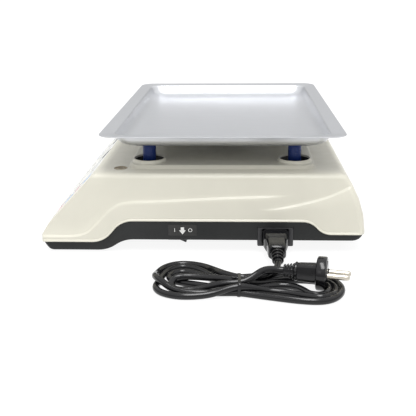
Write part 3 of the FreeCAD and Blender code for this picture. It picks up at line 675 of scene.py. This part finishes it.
def side_relief(y, z):
    upper = RELIEF * (1 - smooth_step(y, 50, 88))
    lower = RELIEF - upper
    half_a, half_b = band_half(line_a, y), band_half(line_b, y)
    below_a = 1 - smooth_step(z, line_a(y) - half_a, line_a(y) + half_a)
    below_b = 1 - smooth_step(z, line_b(y) - half_b, line_b(y) + half_b)
    return upper * below_a + lower * below_b - RELIEF / 2


def housing_walls(z):
    return BODY_HALF - BODY_LEAN * z, front_of(z), rear_of(z), *HOUSING_CORNERS


def share_line(low, high, share):
    return lambda y: low(y) + (high(y) - low(y)) * share


def housing_outer_rings():
    top = lambda y: DECK_Z - TOP_ROUND
    rings = []
    for rise, out in ((0.0, -0.3), (0.25, 0.55), (0.8, 1.0), (1.35, 0.85), (LIP, 0.0)):
        push = lambda y, z, out=out: side_relief(y, z) + out
        rings.append(shell_ring(lambda y, rise=rise: seam(y) + rise, housing_walls, push))
    below = lambda y: seam(y) + LIP
    for line in (line_b, line_a):
        start = lambda y, line=line: line(y) - band_half(line, y)
        end = lambda y, line=line: line(y) + band_half(line, y)
        for share in (0.33, 0.67):
            rings.append(shell_ring(share_line(below, start, share), housing_walls, side_relief))
        for share in (0, 0.25, 0.5, 0.75, 1):
            rings.append(shell_ring(share_line(start, end, share), housing_walls, side_relief))
        below = end
    for share in (0.2, 0.4, 0.6, 0.8, 1.0):
        rings.append(shell_ring(share_line(below, top, share), housing_walls, side_relief))
    for turn in range(1, 8):
        angle = math.radians(90 * turn / 7)
        height = DECK_Z - TOP_ROUND * (1 - math.sin(angle))
        inset = TOP_ROUND * (1 - math.cos(angle))
        rings.append(shell_ring(lambda y, height=height: height, housing_walls, side_relief, inset))
    return rings


PLATEAU = {"half": 142, "front": -71.5, "rear": 108, "top": 79.2, "corner": 12}


def plateau_rings():
    """The raised field under the pan, with a small fillet at its foot and a rounded edge."""
    rings = []
    steps = ((2.2, 0.0), (1.1, 0.15), (0.45, 0.55), (0.15, 1.2), (-0.2, 3.2), (-0.55, 3.8), (-1.1, 4.12))
    steps += ((-1.9, 4.2),)
    for out, rise in steps:
        ring = []
        for column in COLUMNS:
            x, y = on_plan(
                column,
                PLATEAU["half"] + out,
                PLATEAU["front"] - out,
                PLATEAU["rear"] + out,
                PLATEAU["corner"] + out,
                PLATEAU["corner"] + out,
            )
            ring.append((x, y, DECK_Z + rise))
        rings.append(ring)
    return rings


WALL = 2.3


def housing_inner_rings():
    ceiling = lambda y: DECK_Z - WALL
    rings = []

    def inner_walls(z):
        half, front, rear, front_corner, rear_corner = housing_walls(z)
        lean = WALL * 0.45 * smooth_step(z, NOSE_Z - 3, NOSE_Z + 3)
        return half - 0.6, front + lean, rear, front_corner, rear_corner

    for share in (1.0, 0.85, 0.5, 0.2, 0.0):
        rings.append(shell_ring(share_line(seam, ceiling, share), inner_walls, None, WALL))
    return rings


POST_SPOTS = {
    "front_left": (-124, -53),
    "front_right": (124, -53),
    "rear_left": (-124, 89),
    "rear_right": (124, 89),
}
LEVEL_SPOT = (137, -80)
REAR_RUN, REAR_DROP = 20, 51
REAR_MIDDLE_Y, REAR_MIDDLE_Z = 144, 49.5
REAR_SINK = 0.75
REAR_CHORD = math.hypot(REAR_RUN, REAR_DROP)


def rear_place():
    """The frame of the rear display, its Z out of the rear slope."""
    sagitta = REAR_RADIUS - math.sqrt(REAR_RADIUS**2 - REAR_CHORD**2 / 4)
    out = sagitta - REAR_SINK
    y = REAR_MIDDLE_Y + out * REAR_DROP / REAR_CHORD
    z = REAR_MIDDLE_Z + out * REAR_RUN / REAR_CHORD
    return at(0, y, z) @ Matrix.Rotation(-math.atan2(REAR_DROP, REAR_RUN), 4, "X")


def cutter(half_u, half_v, low, high, matrix):
    rings = [[(u, v, z) for u, v in oblong(half_u, half_v, 0.6, 2)] for z in (low, high)]
    return moved(loft("cutter", rings, "black_plastic"), matrix)


def closed_shell(name, outer, inner, material, caps):
    """A shell from outer rings, bottom to top, and inner rings, top to bottom, with flat or gridded caps."""
    rings = outer + inner
    piece_points = [p for ring in rings for p in ring]
    count = len(COLUMNS)
    faces = []
    seam_rows = [k for k in range(len(rings)) if k != len(outer) - 1]
    for row in seam_rows:
        ahead = (row + 1) % len(rings)
        for k in range(count):
            after = (k + 1) % count
            faces.append((row * count + k, row * count + after, ahead * count + after, ahead * count + k))
    for row in (len(outer) - 1, len(outer)):
        caps(piece_points, faces, row * count)
    return piece_from(name, piece_points, faces, material)


def flat_cap(points, faces, start):
    faces.append(tuple(range(start, start + len(COLUMNS))))


def ladder_cap(height_of):
    """A cap of strips across the shell, each point's height from its own Y."""

    def fill(points, faces, start):
        side, corner, end = SIDE_STEPS + 1, CORNER_STEPS - 1, END_STEPS + 1
        right = list(range(start, start + side + corner))
        rear_first = start + side + corner
        rear = list(range(rear_first, rear_first + end))
        left = list(range(rear_first + end, rear_first + end + corner + side))
        front_left = list(range(left[-1] + 1, left[-1] + 1 + corner))
        front = list(range(front_left[-1] + 1, front_left[-1] + 1 + end))
        front_right = list(range(front[-1] + 1, front[-1] + 1 + corner))
        ends_right = front_right + right
        ends_left = list(reversed(left + front_left))
        rows = [front]
        lift = points[start][2] - height_of(points[start][1])
        for a, b in zip(ends_left, ends_right):
            row = [a]
            for k in range(1, END_STEPS):
                spot = Vector(points[a]).lerp(Vector(points[b]), k / END_STEPS)
                points.append((spot.x, spot.y, height_of(spot.y) + lift))
                row.append(len(points) - 1)
            rows.append(row + [b])
        rows.append(list(reversed(rear)))
        for low, high in zip(rows, rows[1:]):
            for k in range(END_STEPS):
                faces.append((low[k], low[k + 1], high[k + 1], high[k]))

    return fill


def make_housing():
    outer = housing_outer_rings() + plateau_rings()
    shell = closed_shell("housing_shell", outer, housing_inner_rings(), "ivory_plastic", flat_cap)
    holes = [cutter(135, 33, -9, 6, SLOPE @ at(0, 37)), cutter(105, 11, -8, 7, rear_place())]
    for x, y in POST_SPOTS.values():
        holes.append(moved(lathe("cutter", [(14.5, 60), (14.5, 90)], "black_plastic"), at(x, y)))
    holes.append(moved(lathe("cutter", [(6.7, 70), (6.7, 80)], "black_plastic"), at(*LEVEL_SPOT)))
    trim(shell, "DIFFERENCE", holes)
    finish_piece(shell, "root", ["upper_housing"], 32)
    for name, (x, y) in POST_SPOTS.items():
        outline = [(14.45, 76.2), (14.45, 82.0), (14.6, 82.45), (14.95, 82.68), (15.45, 82.68), (15.85, 82.4)]
        outline += [(16.05, 81.9), (16.25, 80.6), (16.5, 79.9), (17.1, 79.4), (17.9, 79.17), (17.9, 78.6)]
        outline += [(15.2, 76.2)]
        ring = hoop(f"collar_{name}", outline, "ivory_plastic", 64)
        finish_piece(moved(ring, at(x, y)), "root", (), 50)
        # A black sleeve inside each collar: painted shade for the deep, dark hole round the post.
        painted_shade_outline = [(14.0, 66.0), (14.0, 80.6), (14.2, 80.9), (14.42, 80.9), (14.42, 66.0)]
        painted_shade_sleeve = hoop(f"collar_painted_shade_{name}", painted_shade_outline, "black_plastic", 64)
        finish_piece(moved(painted_shade_sleeve, at(x, y)), "root")


# ---------------------------------------------------------------- base tray


def tray_walls(z):
    low = max(0.0, SEAM["front"] - z)
    front = TRAY_FRONT + 6 * (low / 9.3) ** 1.5
    drop = max(0.0, SEAM["rear"] - z)
    rear = TRAY_REAR - 4.2 * (drop / 6.6) ** 2
    return TRAY_HALF, front, rear, *TRAY_CORNERS


def make_tray():
    fillet = 1.8
    outer = []
    steps = [(seam, -0.1, 1.0), (seam, -0.15, 0.35), (seam, -0.7, 0.0)]
    for line, rise, inset in steps:
        outer.append(shell_ring(lambda y, line=line, rise=rise: line(y) + rise, tray_walls, None, inset))
    above = lambda y: seam(y) - 0.7
    foot = lambda y: under(y) + fillet
    for share in (0.25, 0.5, 0.75, 1.0):
        outer.append(shell_ring(share_line(above, foot, share), tray_walls))
    for turn in range(1, 6):
        angle = math.radians(90 * turn / 5)
        rise = fillet * (1 - math.sin(angle))
        inset = fillet * (1 - math.cos(angle))
        outer.append(shell_ring(lambda y, rise=rise: under(y) + rise, tray_walls, None, inset))
    inner = []
    floor = lambda y: under(y) + 2.8
    rim = lambda y: seam(y) - 0.1
    for share in (0.0, 0.12, 0.5, 1.0):
        inset = 3.6 if share == 0 else 2.9
        inner.append(shell_ring(share_line(floor, rim, share), tray_walls, None, inset))
    tray = closed_shell("tray_shell", outer, inner, "tray_plastic", ladder_cap(under))
    cups = []
    wells = []
    for x in (-112, 112):
        cups.append(moved(lathe("cutter", [(17, 2.4), (17, 14)], "tray_plastic"), at(x, -120)))
        wells.append(moved(lathe("cutter", [(14, -1), (14, 11.5)], "tray_plastic"), at(x, -120)))
    wells.append(cutter(6.6, 9.7, 8, 20, at(155, -23.5)))
    wells.append(cutter(14.5, 17.1, 0, 25.5, at(155, 69.6)))
    trim(tray, "UNION", cups)
    trim(tray, "DIFFERENCE", wells)
    finish_piece(tray, "root", ["base_tray"], 32)


# ---------------------------------------------------------------- pan and posts

PAN_HALF_X, PAN_HALF_Y, PAN_Y, PAN_TOP = 170, 115, 19, 112.8


def pan_ring(inset, z, corner):
    points = oblong(PAN_HALF_X - inset, PAN_HALF_Y - inset, corner, 12)
    return [(u, v + PAN_Y, PAN_TOP + z) for u, v in points]


def make_pan():
    """A pressed steel dish: rim, gently falling flange, creased wall and flat floor."""
    face = [
        (0.0, -0.55, 16), (0.12, -0.2, 16), (0.5, 0.0, 15.9), (1.2, -0.06, 15.7), (6.5, -0.45, 14.6),
        (12.4, -1.0, 13.4), (13.2, -1.2, 13.2), (13.8, -1.75, 13.1), (14.5, -3.0, 12.9), (15.6, -5.4, 12.6),
        (17.4, -8.2, 12.2), (20.0, -10.6, 11.8), (23.4, -12.3, 11.4), (27.6, -13.3, 11), (32.4, -13.8, 11),
        (36.5, -13.97, 11), (40.0, -14.0, 11),
    ]
    back = [
        (40.3, -15.0, 11), (36.4, -14.97, 11), (32.2, -14.8, 11), (27.2, -14.25, 11), (22.8, -13.2, 11.4),
        (19.2, -11.4, 11.8), (16.5, -8.9, 12.2), (14.6, -6.1, 12.6), (13.5, -3.6, 12.9), (12.9, -2.6, 13.1),
        (12.3, -2.1, 13.2), (6.3, -1.5, 14.6), (1.2, -1.08, 15.7), (0.5, -1.05, 15.9), (0.12, -0.85, 16),
    ]
    face_rings = [pan_ring(*step) for step in face]
    back_rings = [pan_ring(*step) for step in [face[0]] + back[::-1]]
    pan = loft("pan_dish", face_rings, "pan_steel", False, True)
    under_side = loft("pan_back", back_rings, "pan_steel", False, True)
    pan = merged("pan_dish", [pan, under_side])
    sheet = bmesh.new()
    sheet.from_mesh(pan.data)
    bmesh.ops.remove_doubles(sheet, verts=sheet.verts, dist=1e-6)
    bmesh.ops.recalc_face_normals(sheet, faces=sheet.faces)
    sheet.to_mesh(pan.data)
    sheet.free()
    finish_piece(pan, "pan", ["weighing_pan"], 40)


def make_posts():
    for name, (x, y) in POST_SPOTS.items():
        profile = [(9, 64), (9, 66.2), (8.3, 67), (7.0, 67.4), (6.6, 68.2), (6.5, 70), (6.5, 94.4)]
        profile += [(6.6, 95.0)]
        profile += [(7.0, 95.9), (7.8, 96.6), (8.6, 97.0), (8.8, 97.3), (8.8, 97.6), (8.6, 97.75)]
        post = lathe(f"post_{name}_shaft", profile, "post_plastic", 40)
        finish_piece(moved(post, at(x, y)), "platform", [f"post_{name}"], 45)


# ---------------------------------------------------------------- keypad and displays

DIGIT_COLUMNS = {"a": -14, "b": 15, "c": 44}
DIGIT_MARKS = ["0.C", "123", "456", "789"]
ROW_LOW, ROW_PITCH = 12, 11.2
KEY_TALL = 8.4


def glyph(text, size, material):
    """Flat printed characters about the origin, a hair thick."""
    curve = bpy.data.curves.new("glyph", "FONT")
    curve.body = text
    curve.size = size * MM
    curve.align_x = "CENTER"
    curve.align_y = "CENTER"
    curve.extrude = 0.00004
    made = bpy.data.objects.new("glyph", curve)
    bpy.context.scene.collection.objects.link(made)
    graph = bpy.context.evaluated_depsgraph_get()
    mesh = bpy.data.meshes.new_from_object(made.evaluated_get(graph))
    mesh.materials.clear()
    mesh.materials.append(MATERIALS[material])
    bpy.data.objects.remove(made)
    printed = bpy.data.objects.new("glyph", mesh)
    bpy.context.scene.collection.objects.link(printed)
    return printed


def make_key(node, x, y, wide, tall, mark, ink):
    """A white cap on its hidden lip, with a printed mark."""
    cap = soft_block(node, wide / 2, tall / 2, -3.2, 0.9, 1.5, 0.55, "key_white")
    rim = soft_block(node, wide / 2 + 0.9, tall / 2 + 0.8, -3.6, -2.9, 1.5, 0.2, "key_white", 2)
    printed = moved(glyph(mark, min(5.6, tall * 0.62), ink), at(0, 0, 0.92))
    key = moved(merged(f"{node}_cap", [cap, rim, printed]), SLOPE @ at(x, y))
    finish_piece(key, node, [node])


def make_keys():
    for row in range(4):
        y = ROW_LOW + ROW_PITCH * row
        for mark, (column, x) in zip(DIGIT_MARKS[row], DIGIT_COLUMNS.items()):
            make_key(f"key_digit_{column}{row + 1}", x, y, 24, KEY_TALL, mark, "ink_dark")
        make_key(f"key_memory_{row + 1}", -82, y, 60, KEY_TALL, f"M{4 - row}", "key_blue")
    for pair, mark in enumerate(("=", "+")):
        y = ROW_LOW + ROW_PITCH * (2 * pair + 0.5)
        make_key(f"key_function_{pair + 1}", 94, y, 34, KEY_TALL + ROW_PITCH, mark, "key_red")


def make_display_frames():
    """Two thin dark bars that part each display's window into three fields."""
    for name, place, wide, tall in (("front", SLOPE @ at(0, 60.5), 216, 15), ("rear", rear_place(), 210, 22)):
        bars = []
        for k in (-1, 1):
            bar = soft_block("bar", 0.8, tall / 2 - 0.3, -0.6, 0.12, 0.3, 0.1, "dark_plastic", 2)
            bars.append(moved(bar, at(k * wide / 6, 0)))
        masks = merged(f"display_mask_{name}", bars)
        finish_piece(moved(masks, place), "root")


def make_level():
    """Round bubble level: a tan rim about a domed lens, with the bubble's ring."""
    rim_outline = [(5.0, 70), (5.0, 75.0), (5.25, 75.25), (6.4, 75.2), (6.6, 74.9), (6.6, 70)]
    rim = hoop("level_rim", rim_outline, "vial_plastic")
    dome = [(5.0, 70), (5.0, 74.6), (4.2, 74.85), (2.4, 75.0), (0.0, 75.05)]
    lens = lathe("level_lens", dome, "vial_plastic")
    ring = hoop("level_bubble", [(1.7, 74.9), (1.7, 75.12), (2.0, 75.12), (2.0, 74.9)], "ink_dark")
    level = moved(merged("bubble_level", [rim, lens, ring]), at(*LEVEL_SPOT))
    finish_piece(level, "root", ["level_vial"])


# ---------------------------------------------------------------- switch, feet, inlet

SWITCH = (155, -23.5)


def make_switch():
    x, y = SWITCH
    rings = []
    steps = ((7.5, 10.5, 12.15), (7.5, 10.5, 10.9), (7.1, 10.1, 10.2), (6.0, 9.8, 10.2), (5.3, 9.2, 10.5))
    steps += ((5.2, 9.1, 16.0),)
    for half_u, half_v, z in steps:
        rings.append([(u, v, z) for u, v in oblong(half_u, half_v, 1.4)])
    bezel = loft("switch_bezel", rings, "dark_plastic")
    finish_piece(moved(bezel, at(x, y)), "root", ["switch_body"])
    profile = [(-8.1, 0.8), (-7.9, -0.6), (-7.2, -1.1), (-3.6, -1.0), (0, -1.6), (3.6, -2.8)]
    profile += [(7.1, -4.5), (7.9, -4.3), (8.1, -3.3), (6.8, 1.6), (6, 3), (-6, 3)]
    rings = []
    for side, inset in ((-4.8, 0.35), (-4.45, 0.0), (4.45, 0.0), (4.8, 0.35)):
        squeeze = 1 - inset / 8
        rings.append([(side, u * squeeze, v * squeeze) for u, v in profile])
    rocker = loft("rocker_cap", rings, "black_plastic")
    dot = moved(lathe("dot", [(1.1, -0.03), (1.1, 0.03)], "ink_white", 24), at(0, -5, -1.08))
    cap = moved(merged("rocker_cap", [rocker, dot]), at(x, y, 11.4))
    finish_piece(cap, "rocker", ["rocker"])


def make_switch_label():
    """A dark plate with an arrow that points down at the switch, between the two generic position marks."""
    face = Matrix(((0, 0, 1, 0), (1, 0, 0, 0), (0, 1, 0, 0), (0, 0, 0, 1)))
    plate = soft_block("plate", 13.5, 5.5, 0, 0.25, 0.8, 0.1, "label_paper", 2)
    shaft = soft_block("shaft", 1.6, 1.5, 0.24, 0.29, 0.05, 0.02, "ink_white", 1)
    tips = [(u, v, z) for z in (0.24, 0.29) for u, v in ((-3.2, 0.1), (3.2, 0.1), (0, -4.0))]
    sides = [(0, 1, 2), (3, 5, 4), (0, 3, 4, 1), (1, 4, 5, 2), (2, 5, 3, 0)]
    head = piece_from("head", tips, sides, "ink_white")
    parts = [plate, moved(shaft, at(0, 1.5)), head]
    for mark, u in (("I", -7.4), ("O", 7.4)):
        parts.append(moved(glyph(mark, 5.2, "ink_white"), at(u, 0, 0.26)))
    label = moved(merged("switch_plate", parts), at(TRAY_HALF, -18.5, 22.3) @ face)
    finish_piece(label, "root", ["switch_label"])


FOOT_SPOTS = {
    "front_left": (-112, -120),
    "front_right": (112, -120),
    "rear_left": (-112, 125),
    "rear_right": (112, 125),
}


def make_feet():
    """Knurled wheels on threaded studs."""
    wheel_steps = ((9.4, 0), (9.7, 0.25), (10.3, 2.3), (10.5, 2.6), (10.9, 3.0), (11, 3.4), (11, 6.7))
    wheel_steps += ((10.6, 7.3), (9.8, 7.5))
    for name, (x, y) in FOOT_SPOTS.items():
        lobes = 24
        steps = lobes * 6
        rings = []
        for radius, z in wheel_steps:
            grip = 0.45 if radius > 10.8 else 0.0
            ring = []
            for k in range(steps):
                angle = 2 * math.pi * k / steps
                r = radius - grip * (0.5 - 0.5 * math.cos(lobes * angle))
                ring.append((r * math.cos(angle), r * math.sin(angle), z))
            rings.append(ring)
        wheel = loft("wheel", rings, "foot_rubber")
        thread = [(3.0, 7.2)]
        for turn in range(13):
            z = 7.6 + turn * 1.25
            thread += [(3.0, z), (2.55, z + 0.6)]
        thread += [(2.6, 23.6), (2.2, 24)]
        stud = lathe("stud", thread, "fastener_steel", 32)
        foot = moved(merged(f"foot_{name}_wheel", [wheel, stud]), at(x, y))
        finish_piece(foot, f"foot_{name}", [f"foot_{name}"])


INLET = (69.6, 15.95)


def make_inlet():
    """The inlet's block, with a rounded face and a square socket."""
    y, z = INLET
    rings = []
    steps = (
        (142.6, 17, 9.35, 1.2), (167.6, 17, 9.35, 1.2), (168.3, 16.8, 9.15, 1.2), (168.6, 16.3, 8.65, 1.2),
        (168.6, 13.0, 8.7, 1.4), (168.3, 12.5, 8.3, 1.4), (151.2, 12.4, 8.25, 1.4),
    )
    for x, half_y, half_z, corner in steps:
        rings.append([(x, y + u, z + v) for u, v in oblong(half_y, half_z, corner)])
    finish_piece(loft("inlet_block", rings, "dark_plastic"), "root", ["inlet_housing"])


# ---------------------------------------------------------------- mains lead

LEAD_DIAMETER = 6
TIE_Y = 35.5
LOW, TOP = 3.1, 9.5
TIE_LOW = 3.7

# Where the lead leaves the connector's boot and reaches the hank's waist.
FROM_CONNECTOR = [
    (222.0, 69.6, 11.8), (231.5, 68.4, 10.0), (239.8, 62.4, 9.3), (245.4, 53.0, 9.3), (248.3, 43.8, 9.4),
]
# The hank: left and right loops in turn, each pass through the tie in its own place of eight.
FIRST_LEFT = [
    (249.9, 35.5, TOP), (243, 25, 9.2), (232, 17, 7.4), (219, 10, 4.6), (209, 1, LOW), (205, -11, LOW),
    (206.5, -23, LOW), (215, -32.5, LOW), (228, -37.0, LOW), (240, -37.4, 6.6), (250.0, -34.5, 9.2),
    (258, -28.5, 8.4), (264.5, -19.5, 4.4), (267.5, -7, LOW), (267.6, 8, LOW), (266.6, 23, LOW),
]
FIRST_RIGHT = [
    (267.6, 35.5, TIE_LOW), (271, 50, LOW), (275, 64, LOW), (279.5, 80, LOW), (282, 95, LOW),
    (280.5, 107, LOW), (272, 116.5, LOW), (259, 121.4, LOW), (245, 119.6, LOW), (234.5, 109.5, LOW),
    (229.3, 95, LOW), (228, 80, LOW), (230, 64, LOW), (237.5, 49, LOW),
]
SECOND_LEFT = [
    (249.9, 35.5, TIE_LOW), (243, 22, LOW), (233, 12, LOW), (221, 3.5, LOW), (213, -7, LOW),
    (212, -18, LOW), (219, -27, LOW), (231, -31.2, LOW), (245, -33.4, LOW), (258, -35.6, LOW),
    (268.6, -28.5, LOW), (274.2, -16, LOW), (274.4, -3, LOW), (272.2, 12, 3.8), (269.2, 25, 7.6),
]
SECOND_RIGHT = [
    (267.6, 35.5, TOP), (265.6, 47, 7.2), (263.2, 58, 3.8), (264.3, 71, LOW), (268.8, 83, LOW),
    (273.6, 93, 3.4), (276.2, 102, 4.2), (273.0, 110.5, 4.2), (262.5, 115.6, LOW), (250, 115.4, LOW),
    (240.2, 108, LOW), (235.2, 96, LOW), (233.8, 82, LOW), (235.5, 69, LOW), (241.5, 54, LOW),
    (248.5, 45, LOW),
]
THIRD_LEFT = [
    (255.8, 35.5, TIE_LOW), (250, 24, LOW), (241, 14.5, LOW), (231.5, 4.5, LOW), (225, -6, LOW),
    (223.4, -16, LOW), (228, -23.6, LOW), (236, -25.8, LOW), (243.4, -21.5, LOW), (248.3, -10.5, LOW),
    (251.8, 2, LOW), (256.6, 16, LOW),
]
THIRD_RIGHT = [
    (261.7, 35.5, TIE_LOW), (256.8, 49, LOW), (252, 62, LOW), (250.5, 73, LOW), (253.3, 83, LOW),
    (260.5, 89, LOW), (267.6, 93, LOW), (270.2, 99.8, LOW), (267.2, 107.0, LOW), (258.0, 110.6, LOW),
    (248, 109.2, LOW), (241.7, 102.5, LOW), (239.6, 91, LOW), (239.6, 77, LOW), (242.3, 64, LOW),
    (247.5, 53, 3.6), (252, 45, 6.0),
]
FOURTH_LEFT = [
    (255.8, 35.5, TOP), (252.4, 23, 9.3), (249.0, 10, 8.8), (247.3, -2, 8.9), (247.2, -10.5, 9.0),
    (247.4, -16.4, 8.6), (250.1, -20.3, 7.4), (254.7, -21.8, 5.6), (259.3, -20.3, 4.0),
    (262.1, -16.4, LOW), (262.3, -9, LOW), (262, -1, 3.6), (261, 9, 5.8), (260.4, 22, 8.8),
]
TO_PLUG = [
    (260.6, 35.5, TOP), (258.4, 43.2, 11.2), (254.2, 49.6, 14.2), (249.2, 55.2, 16.0),
    (245.8, 61.2, 15.8), (244.3, 67.2, 14.7), (244.81, 72.81, 14.5),
]
HANK = [FIRST_LEFT, FIRST_RIGHT, SECOND_LEFT, SECOND_RIGHT, THIRD_LEFT, THIRD_RIGHT, FOURTH_LEFT]


def make_lead(with_pieces):
    route = FROM_CONNECTOR + [spot for turn in HANK for spot in turn] + TO_PLUG
    curve = bpy.data.curves.new("mains_lead", "CURVE")
    curve.dimensions = "3D"
    spline = curve.splines.new("NURBS")
    spline.points.add(len(route) - 1)
    for point, spot in zip(spline.points, route):
        point.co = (*(Vector(spot) * MM), 1)
    spline.order_u = 3
    spline.use_endpoint_u = True
    spline.resolution_u = 8
    curve.bevel_depth = LEAD_DIAMETER / 2 * MM
    curve.bevel_resolution = 5
    curve.use_fill_caps = True
    curve.materials.append(MATERIALS["lead_rubber"])
    lead = bpy.data.objects.new("mains_lead", curve)
    bpy.context.scene.collection.objects.link(lead)
    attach(lead, "root")
    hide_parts("lead_from_connector", "lead_hank", "lead_to_plug")


def make_connector():
    """The moulded connector: nose in the socket, tapering grip with a stepped end, and a ribbed boot."""
    y = INLET[0]
    steps = [
        (150.0, 11.6, 7.6, 16.0, 1.5), (166.4, 11.8, 7.8, 16.0, 1.5), (166.7, 12.0, 8.0, 16.0, 2.2),
        (168.0, 12.3, 8.3, 16.0, 3.0), (178.0, 11.6, 8.1, 15.9, 3.2), (187.5, 9.9, 7.9, 15.8, 3.4),
        (188.3, 9.2, 7.4, 15.8, 3.2), (189.5, 9.0, 7.3, 15.8, 3.2), (198.0, 8.6, 7.2, 15.6, 3.4),
        (205.0, 8.0, 6.9, 15.3, 3.4), (206.6, 7.4, 6.4, 15.2, 3.2), (207.4, 6.4, 5.6, 15.1, 3.0),
    ]
    rings = []
    for x, half_y, half_z, z, corner in steps:
        rings.append([(x, y + u, z + v) for u, v in oblong(half_y, half_z, corner)])
    grip = loft("grip", rings, "lead_rubber")
    profile = [(5.0, 0.0)]
    for rib, radius in enumerate((6.2, 5.7, 5.2)):
        z = 1.4 + rib * 4.3
        profile += [(radius - 1.4, z), (radius - 0.2, z + 0.35), (radius, z + 0.8)]
        profile += [(radius, z + 2.0), (radius - 0.2, z + 2.45), (radius - 1.5, z + 2.8)]
    profile += [(3.7, 14.4), (3.4, 15.6), (2.9, 15.9)]
    boot = lathe("boot", profile, "lead_rubber", 32)
    turn = Matrix.Rotation(math.radians(90 + 12), 4, "Y")
    boot = moved(boot, at(206.8, y, 15.0) @ turn)
    body = merged("lead_connector_body", [grip, boot])
    return finish_piece(body, "root", ["lead_connector"])


PLUG_FACE = Vector((252.5, 109, 14.5))
PLUG_HEADING = math.radians(12)
PLUG_ROLL = math.radians(13)


def plug_place():
    """Z runs from the pin face towards the lead, and X lies across the plug, level with the table."""
    back = Vector((-math.sin(PLUG_HEADING), -math.cos(PLUG_HEADING), 0))
    across = Vector((math.cos(PLUG_HEADING), -math.sin(PLUG_HEADING), 0))
    up = back.cross(across)
    turn = Matrix((across, up, back)).transposed().to_4x4()
    return Matrix.Translation(PLUG_FACE * MM) @ turn @ Matrix.Rotation(PLUG_ROLL, 4, "Z")


def make_plug():
    """Round-headed plug: disc, flat-topped trunk, collar, and a boot with ladder slots."""
    disc = lathe("disc", [
        (10.9, -0.02), (11.1, 0.5), (13.5, 0.5), (14.15, 0.8), (14.45, 1.6), (14.45, 7.2), (14.1, 8.3),
        (13.2, 8.9), (10.0, 9.4),
    ], "lead_rubber", 64)
    rings = []
    for z, half_u, half_v, corner in (
        (8.6, 9.0, 8.7, 4.5), (10.0, 8.5, 8.2, 3.4), (12.0, 8.3, 8.0, 3.0), (22.0, 7.8, 7.5, 2.8),
        (24.6, 7.6, 7.2, 2.8),
        (25.2, 7.0, 6.6, 3.2),
    ):
        rings.append([(u, v, z) for u, v in oblong(half_u, half_v, corner)])
    trunk = loft("trunk", rings, "lead_rubber")
    collar_profile = [(6.6, 24.8), (7.9, 25.0), (8.2, 25.4), (8.2, 26.6), (7.9, 27.0), (6.2, 27.3)]
    collar = lathe("collar", collar_profile, "lead_rubber")
    core = lathe("core", [(4.4, 26.8), (4.3, 35.6), (3.7, 36.7), (3.1, 37.0)], "lead_rubber", 32)
    rails = []
    for rib in range(4):
        z = 27.6 + rib * 2.55
        size = 6.4 - rib * 0.45
        rails.append(moved(soft_block("rib", size, size, 0, 1.35, 2.6, 0.35, "lead_rubber", 2), at(0, 0, z)))
    for side in (-1, 1):
        rail = soft_block("rail", 0.9, 2.4, 26.6, 36.2, 0.6, 0.4, "lead_rubber", 2)
        rails.append(moved(rail, at(side * 4.7, 0)))
    body = moved(merged("plug_moulding", [disc, trunk, collar, core] + rails), plug_place())
    body = finish_piece(body, "root", ["plug_body"])
    pins = []
    for x in (-9.5, 9.5):
        profile = [(2.4, 0.6), (2.4, -16.6), (2.2, -17.8), (1.6, -18.7), (0.6, -19.0)]
        pins.append(moved(lathe("pin", profile, "contact_nickel", 32), at(x, 0)))
        sleeve = [(3.1, 0.8), (3.1, -0.4), (2.7, -0.8), (2.45, -0.8)]
        pins.append(moved(lathe("sleeve", sleeve, "dark_plastic", 32), at(x, 0)))
    pins = moved(merged("plug_pin_pair", pins), plug_place())
    pins = finish_piece(pins, "root", ["plug_pins"])
    return [body, pins]


def make_tie():
    """A flat plastic tie round the hank's waist, its ends twisted together on top."""
    low, high = 0.45, 12.9
    x_low, x_high = 246.6, 270.9
    middle_x, middle_z = (x_low + x_high) / 2, (low + high) / 2
    path = oblong((x_high - x_low) / 2, (high - low) / 2, 3.2, 8)
    rings = []
    for k, (u, v) in enumerate(path):
        before, after = Vector(path[k - 1]), Vector(path[(k + 1) % len(path)])
        way = (after - before).normalized()
        out = Vector((way.y, -way.x))
        lean = 0.35 * math.sin(4 * math.pi * k / len(path))
        ring = []
        for a, b in oblong(1.3, 0.38, 0.3, 2):
            ring.append((middle_x + u + out.x * b, TIE_Y + lean + a, middle_z + v + out.y * b))
        rings.append(ring)
    band_piece = loft("band", rings + rings[:1], "lead_rubber", False, False)
    profile = [(0.9, 0.0), (1.05, 1.0), (0.75, 2.0), (1.05, 3.0), (0.75, 4.0), (1.0, 5.0), (0.7, 6.0)]
    profile += [(0.5, 6.4)]
    place = at(258.5, 35.2, 12.6) @ Matrix.Rotation(1.42, 4, "X")
    twist = moved(lathe("twist", profile, "lead_rubber", 16), place)
    return finish_piece(merged("hank_tie", [band_piece, twist]), "root", ["lead_tie"])


# ---------------------------------------------------------------- CAD nodes that keep their shape

KEPT = {
    "fastener_steel": ["housing_screws", "cell_bolts", "overload_stop", "platform_bolts", "post_screws"],
    "nut_brass": ["foot_nuts"],
    "panel_plastic": ["keypad_bezel"],
    "window": ["display_lens", "rear_display_lens"],
    "circuit_board": ["display_module", "keypad_board", "rear_display_module", "main_board"],
    "cell_aluminium": ["load_cell"],
    "cast_frame": ["cell_mount_block", "platform_spider"],
    "battery_case": ["battery"],
    "transformer_steel": ["transformer"],
    "contact_nickel": ["inlet_pins"],
}


def dress_kept_nodes():
    for material, nodes in KEPT.items():
        for node in nodes:
            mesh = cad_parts[node].data
            mesh.materials.clear()
            mesh.materials.append(MATERIALS[material])


# ---------------------------------------------------------------- the scene

bpy.context.scene.view_settings.view_transform = "Standard"
make_camera()
make_world()
make_floor(MATERIALS["studio_floor"])
area_light("top_light", (0.6, 0.05, 1.55), (0, 0, 0), (0.45, 1.3), 17)
area_light("side_light", (1.5, -0.5, 0.8), (0.1, 0, 0.05), (0.5, 0.4), 0.4)

make_housing()
make_tray()
make_pan()
make_posts()
make_keys()
make_display_frames()
make_level()
make_switch()
make_switch_label()
make_feet()
make_inlet()
make_lead([make_connector(), *make_plug(), make_tie()])
dress_kept_nodes()

bpy.context.view_layer.update()
